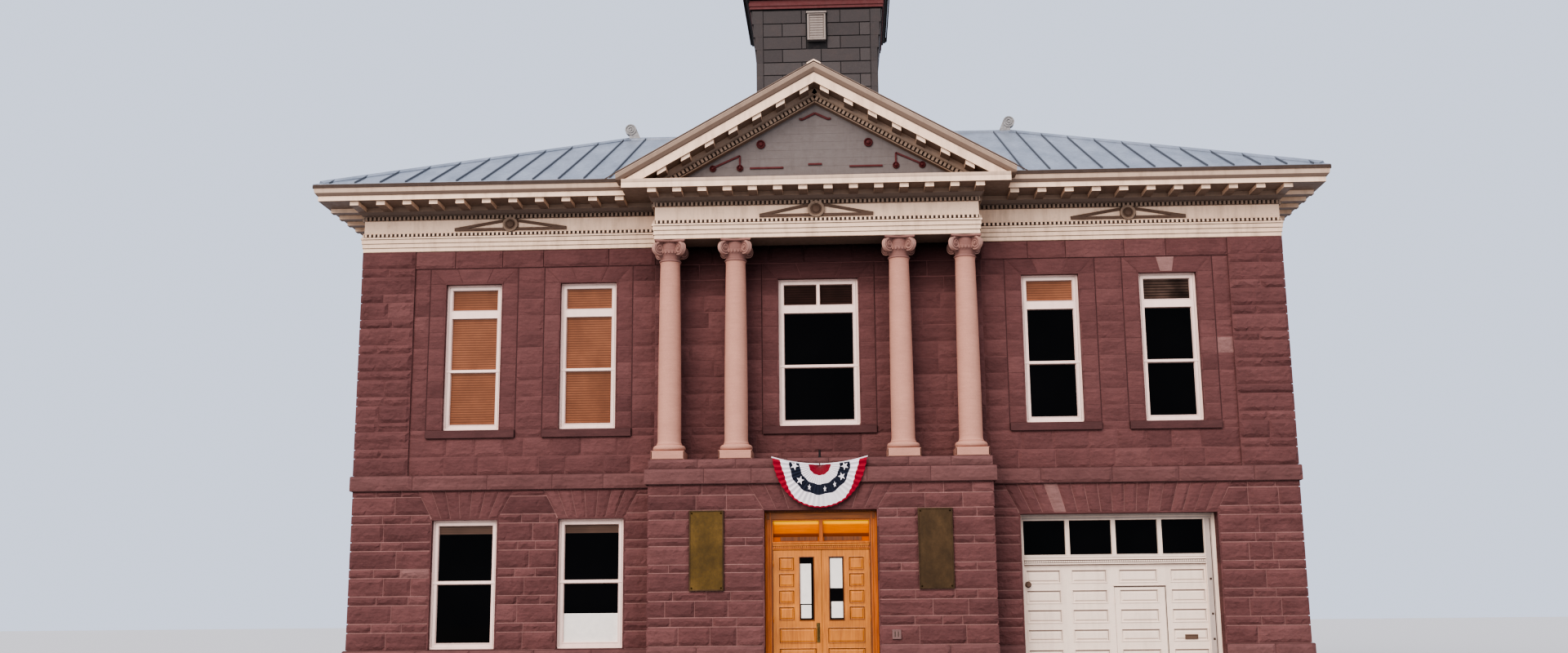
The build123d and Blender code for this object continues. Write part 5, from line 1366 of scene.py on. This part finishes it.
# Door leaves: panels are measured from the hinge edge, and their profile is in three parts
HINGE, LIGHT_RISE = 0.928, (1.432, 2.624)
PANEL_RIM = [(-0.006, 0.0), (-0.006, 0.006), (0.004, 0.008)]
PANEL_COVE = [(0.004, 0.008), (0.012, 0.002), (0.018, -0.0118)]
PANEL_FIELD = [(0.03, -0.0118), (0.045, -0.002), (0.05, -0.001)]
small = (LIGHT_RISE[1] - LIGHT_RISE[0] - 0.18) / 4
levels = [LIGHT_RISE[0] + number * (small + 0.06) for number in range(4)]
panels = [(0.107, 0.4, level, level + small) for level in levels]
panels += [(0.107, 0.818, low, high) for low, high in ((0.3, 0.56), (0.65, 0.91), (1.0, 1.29))]
glazing = [(-0.012, 0.0), (-0.012, 0.008), (0.002, 0.01), (0.01, -0.018)]
for sign, body, papers in (
    (-1, "left_leaf", ((-0.415, -0.20, 1.74, 2.50), (-0.40, -0.2, 1.47, 1.72))),
    (1, "right_leaf", ((0.165, 0.40, 2.03, 2.60), (0.18, 0.405, 1.47, 1.78))),
):
    leaf = Pieces()
    for left, right, low, high in panels:
        rect = (*pair(sign, HINGE - left, HINGE - right), low, high)
        rings(leaf, door_face, rect, PANEL_RIM, cap=False)
        # The coves are in the shaded varnish: painted shade in the grooves
        rings(leaf, door_face, rect, PANEL_COVE, kind=1, cap=False)
        rings(leaf, door_face, rect, PANEL_FIELD)
    light = (*pair(sign, HINGE - 0.506, HINGE - 0.777), *LIGHT_RISE)
    rings(leaf, door_face, light, glazing, kind=1, cap=False)
    slot = body.replace("leaf", "door_leaf")
    leaf.build(body + "_mouldings", [varnish, varnish_dark], body, slot)
    notice = Pieces()
    for rect in papers:
        brick(notice, door_face, rect, -0.0205, -0.0185)
    notice.build(body + "_papers", [paper], body, body.replace("leaf", "door_glass"))
bolt = Pieces()
bricks(bolt, door_face, [(-0.108, -0.04, 1.01, 1.38, 0.006, 0, 0.002)])
bolt.build("pull_plate", [aged_brass], "left_leaf", "door_pull")

# Garage: mouldings of the frame, the door and its wicket
FRAME_BACK, LEAF_BACK = 0.3, 0.34
garage_face, leaf_plane = front.moved(-FRAME_BACK), front.moved(-LEAF_BACK)
LIGHTS, MULLION = (3.985, 7.53), 0.075
garage = Pieces()
teeth(garage, garage_face, (3.99, 7.53), 84, 0.02, (2.49, 2.525), 0.0, 0.02)
# Kind 1 strips are painted shade on the head, inside the right jamb and behind the dentils; kind 2
# lines are painted shadow lines, and the four small ones are hinges
bricks(garage, garage_face, [
    (*LIGHTS, 2.535, 2.56, 0.03, 0, 0.006),
    (*LIGHTS, 2.45, 2.478, 0.022, 0, 0.005),
    (*LIGHTS, 2.585, 2.63, 0.012, 0, 0.004),
    (3.909, 3.965, 0.152, 3.436, 0.024, 0, 0.008),
    (7.695, 7.751, 0.152, 3.436, 0.024, 0, 0.008),
    (3.97, 7.69, 3.335, 3.375, 0.006, 1, 0.002),
    (3.965, 7.695, 3.39, 3.434, 0.026, 1, 0.002),
    (7.545, 7.68, 0.16, 3.33, 0.005, 1, 0.002),
    (7.645, 7.657, 0.16, 3.33, 0.008, 2, 0),
    (*LIGHTS, 2.489, 2.526, 0.006, 1, 0),
    (*LIGHTS, 2.479, 2.489, 0.004, 2, 0),
    (*LIGHTS, 2.526, 2.534, 0.004, 2, 0),
    (*LIGHTS, 2.444, 2.4495, 0.004, 2, 0),
    *((7.585, 7.625, v - 0.02, v + 0.02, 0.012, 2, 0.003) for v in (0.6, 1.0, 1.48, 2.15)),
])
light_width = (LIGHTS[1] - LIGHTS[0] - 3 * MULLION) / 4
glazing = [(-0.014, 0.0), (-0.014, 0.012), (0.004, 0.012), (0.012, -0.05)]
for number in range(4):
    start = LIGHTS[0] + number * (light_width + MULLION)
    rings(garage, garage_face, (start, start + light_width, 2.636, 3.318), glazing, cap=False)
paints = [garage_white, pale_shade, deep_shade]
garage.build("garage_frame_mouldings", paints, slot="garage_frame")

DOOR_COLUMNS = ((4.015, 4.69), (4.905, 5.595), (5.83, 6.58), (6.835, 7.505))
DOOR_ROWS = ((0.18, 0.42), (0.575, 0.815), (0.97, 1.2), (1.33, 1.58), (1.705, 1.955))
DOOR_ROWS += ((2.095, 2.345),)
WICKET_COLUMN, WICKET_ROWS = DOOR_COLUMNS[2], DOOR_ROWS[1:5]
rim = [(-0.01, 0.0), (-0.01, 0.006), (0.002, 0.009), (0.012, 0.002), (0.018, -0.0118)]
door, wicket = Pieces(), Pieces()
for column in DOOR_COLUMNS:
    for row in DOOR_ROWS:
        if column == WICKET_COLUMN and row == DOOR_ROWS[0]:
            continue
        panel = wicket if column == WICKET_COLUMN and row in WICKET_ROWS else door
        left, right, low, high = rect = (*column, *row)
        rings(panel, leaf_plane, rect, rim, cap=False)
        rings(panel, leaf_plane, rect, [(0.035, -0.0118), (0.055, -0.003), (0.06, -0.002)])
        head = (left + 0.018, right - 0.018, high - 0.033, high - 0.018)
        side = (right - 0.031, right - 0.018, low + 0.02, high - 0.034)
        for shadow in (head, side):
            brick(panel, leaf_plane, shadow, -0.0125, -0.0098, kind=1)
# The two deep strips are painted shadow lines over and beside the wicket
bricks(door, leaf_plane, [
    (5.70, 6.73, 2.027, 2.045, 0.014, 0, 0.004),
    (5.72, 6.73, 2.009, 2.025, 0.006, 2, 0),
    (6.715, 6.729, 0.17, 2.008, 0.003, 2, 0),
])
paints = [garage_white, garage_shade, deep_shade]
door.build("garage_door_mouldings", paints, slot="garage_door")
wicket.build("wicket_mouldings", paints, "wicket", "wicket_door")
hardware = Pieces()
lock = [(0, 0.0), (0, 0.012), (0.006, 0.016), (0.02, 0.016), (0.022, 0.006)]
rings(hardware, leaf_plane, (7.05, 7.30, 1.0, 1.09), lock)
knob = Face((4.05, -4.46, 2.07), (1, 0, 0))
for radius, w0, w1 in ((0.062, 0.0, 0.012), (0.018, 0.012, 0.05), (0.045, 0.05, 0.09)):
    closed_prism(hardware, knob, circle(radius, 18), w0, w1)
hardware.build("garage_hardware", [bronze_trim], slot="garage_door")

# Plates beside the entrance, blank, with a raised rim and screws
plates = Pieces()
rim = [(0, 0.0), (0, 0.046), (0.006, 0.05), (0.022, 0.05), (0.026, 0.044)]
for span, tone in zip(PLATES, (0.95, 0.1)):
    rings(plates, block_front, (*span, *PLATE_RISE), rim, 0.0, cap=False)
    inner = (*within(span, 0.026), *within(PLATE_RISE, 0.026))
    rings(plates, block_front, inner, [(0, 0.044), (0.004, 0.0435)], tone)
    for u in within(span, 0.05):
        for v in within(PLATE_RISE, 0.055):
            roundel(plates, block_front, (u, v), 0.014, 0.02)
plates.build("plaque_rims", [plaque_metal], slot="entrance_plaques")

slotted = Pieces()
rim = [(0, 0.0), (0, 0.046), (0.004, 0.05), (0.02, 0.05), (0.022, 0.046)]
rings(slotted, block_front, (1.325, 1.495, 1.07, 1.245), rim)
# The slots are dark bars of painted shade
for left in (1.37, 1.43):
    brick(slotted, block_front, (left, left + 0.02, 1.11, 1.21), 0.044, 0.0475, kind=1)
slotted.build("slotted_plate", [stone_plate, deep_shade], slot="entrance_piers")

# Bunting: a pleated fan of cotton with bound edges, hung from the ledge by its top edge.
# A band runs from one seam to the next, both as radii, and has a tone for its colour.
FAN_X, FAN_Y, FAN_Z, FAN_REACH = 0.0, -HALF_DEPTH - 0.92, 4.375, 0.93
PLEATS, STEPS = 26, 26 * 6
HEM, EDGE = 1.0, 0.785
BANDS = ((0.0, 0.21, 0.8), (0.21, 0.385, 0.5), (0.385, 0.58, 0.1))
BANDS += ((0.58, EDGE, 0.5), (EDGE, HEM, 0.8))


def fan_point(radius, share, lift=0.0):
    """A point of the fan at a radius and a share of the way round from the left corner."""
    tilt = 0.155 * (radius / FAN_REACH) ** 0.9
    angle = math.pi - tilt + (math.pi + 2 * tilt) * share
    fold = 1 - abs(2 * (share * PLEATS % 1) - 1)
    deep = 0.006 + 0.020 * min(1, radius / 0.6)
    ripple = 0.010 * math.sin(5 * math.pi * share + 1.1) * radius
    u, v = polar(radius, angle)
    return (FAN_X + u, FAN_Y - deep * fold - ripple - lift, FAN_Z + v)


def hem(share):
    """The outer edge: longest at the two corners, slightly scalloped between the pleats."""
    corner = abs(2 * share - 1) ** 5
    return 0.84 + 0.095 * corner - 0.012 * abs(math.sin(share * PLEATS * math.pi))


def seam_line(radius, share):
    """The radius at which a seam between two bands runs: the red edge is widest at the corners."""
    if radius == HEM:
        return hem(share)
    if radius == EDGE:
        return hem(share) - 0.03 - 0.12 * min(1.0, max(0.0, (abs(share - 0.5) - 0.18) / 0.2))
    return radius * (1 + 0.018 * math.sin(share * PLEATS * math.pi / 2 + 0.7)) if radius else 0.012


def bunting():
    """Build the fan ring by ring, each band with its own tone, and its white top binding."""
    pieces = Pieces()
    width = STEPS + 1
    for inner, outer, tone in BANDS:
        rows = 8 if outer > 0.2 else 5
        points, faces = [], []
        for row in range(rows + 1):
            for share in np.linspace(0, 1, width):
                low, high = seam_line(inner, share), seam_line(outer, share)
                points.append(fan_point(low + (high - low) * row / rows, share))
        for row in range(rows):
            for a in range(row * width, row * width + STEPS):
                faces.append((a, a + width, a + width + 1, a + 1))
        pieces.add(points, faces, tone)
    for share in (0.0, 1.0):
        rim = []
        for step in range(13):
            x, y, z = fan_point(FAN_REACH * step / 12 + 0.01, share, 0.004)
            for across, out in ((-0.012, 0.0), (-0.004, 0.008), (0.010, 0.008), (0.016, 0.0)):
                rim.append((x, y - out, z + across))
        faces = [(a, a + 4, a + 5, a + 1) for i in range(12) for a in range(4 * i, 4 * i + 3)]
        pieces.add(rim, faces)
    return pieces.build("bunting_cloth", [cotton], slot="bunting", smooth=28)


cloth = bunting()
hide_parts("bunting")
stars = Pieces()
STARS = ((0.04, 0.093), (0.23, 0.09), (0.37, 0.066), (0.56, 0.064), (0.69, 0.066), (0.82, 0.084))
STARS += ((0.95, 0.088),)
for share, size in STARS:
    x, _, z = fan_point(0.485, share)
    squeeze = 0.55 if 0.25 < share < 0.75 else 0.9
    outline = []
    for point in range(10):
        radius = size * 0.42 if point % 2 else size
        u, v = polar(radius, math.pi / 2 + point * math.pi / 5 + (share - 0.5))
        outline.append((x + u * squeeze, z + v))
    closed_prism(stars, front, outline, 0.938, 0.9505)
star_piece = stars.build("bunting_stars", [cotton], slot="bunting")

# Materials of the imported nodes
dress = {
    mortar: "front_wall_left front_wall_right front_wall_centre garage_piers entrance_piers"
    " entrance_lintel left_wall right_wall back_wall",
    dressed: "base_course belt_course portico_ledge window_sills door_sills",
    cream: "cornice_brackets pediment_brackets belfry",
    rake_paint: "raking_cornices",
    cornice_paint: "portico_entablature long_entablatures end_entablatures",
    white: "upper_window_frames lower_window_frames",
    garage_white: "garage_frame garage_door wicket_door",
    varnish: "left_door_leaf right_door_leaf",
    varnish_frame: "door_frame",
    dark_glass: "upper_window_glass lower_window_glass transom_glass",
    door_glass: "left_door_glass right_door_glass",
    aged_brass: "door_pull tower_finial",
    tympanum_paint: "tympanum",
    roof_metal: "pediment_roof roof_front roof_back roof_ends roof_caps tower_roof",
    iron: "flag_bracket",
    weathered_zinc: "ridge_finials",
    cladding: "tower_walls tower_cornice",
    cream_dark: "tower_vent",
    plaque_metal: "entrance_plaques",
    render_floor: "ground_floor",
    floor_boards: "upper_floor",
    column_stone: "columns",
    capital_stone: "column_capitals",
    cotton: "bunting",
}
for material, names in dress.items():
    for name in names.split():
        mesh = nodes[name].data
        if not mesh.materials:
            mesh.materials.append(material)
        for slot in range(len(mesh.materials)):
            mesh.materials[slot] = material

# Floor and light
FLOOR_HALF, FLOOR_Z = 150, -0.002
signs = ((-1, -1), (1, -1), (1, 1), (-1, 1))
corners = [(x * FLOOR_HALF, y * FLOOR_HALF, FLOOR_Z) for x, y in signs]
ground = bpy.data.meshes.new("ground")
ground.from_pydata(corners, [], [(0, 1, 2, 3)])
ground.materials.append(Look("pale_floor", (0.48, 0.47, 0.46), 0.9).material)
floor = bpy.data.objects.new("ground", ground)
bpy.context.scene.collection.objects.link(floor)

world = bpy.data.worlds.new("studio")
bpy.context.scene.world = world
world.use_nodes = True
world.node_tree.nodes["Background"].inputs["Color"].default_value = (0.76, 0.83, 1.0, 1)
world.node_tree.nodes["Background"].inputs["Strength"].default_value = 0.75
bpy.context.scene.view_settings.look = "AgX - High Contrast"
bpy.context.scene.view_settings.exposure = 0.25
for name, energy, spread, tilt, swing, colour in (
    ("key", 2.2, 50, 60, -26, (1.0, 0.90, 0.83)),
    ("high", 0.8, 50, 34, 20, (1.0, 0.96, 0.94)),
):
    lamp = bpy.data.lights.new(name, "SUN")
    lamp.energy = energy
    lamp.angle = math.radians(spread)
    lamp.color = colour
    light = bpy.data.objects.new(name, lamp)
    light.rotation_euler = (math.radians(tilt), 0, math.radians(swing))
    bpy.context.scene.collection.objects.link(light)
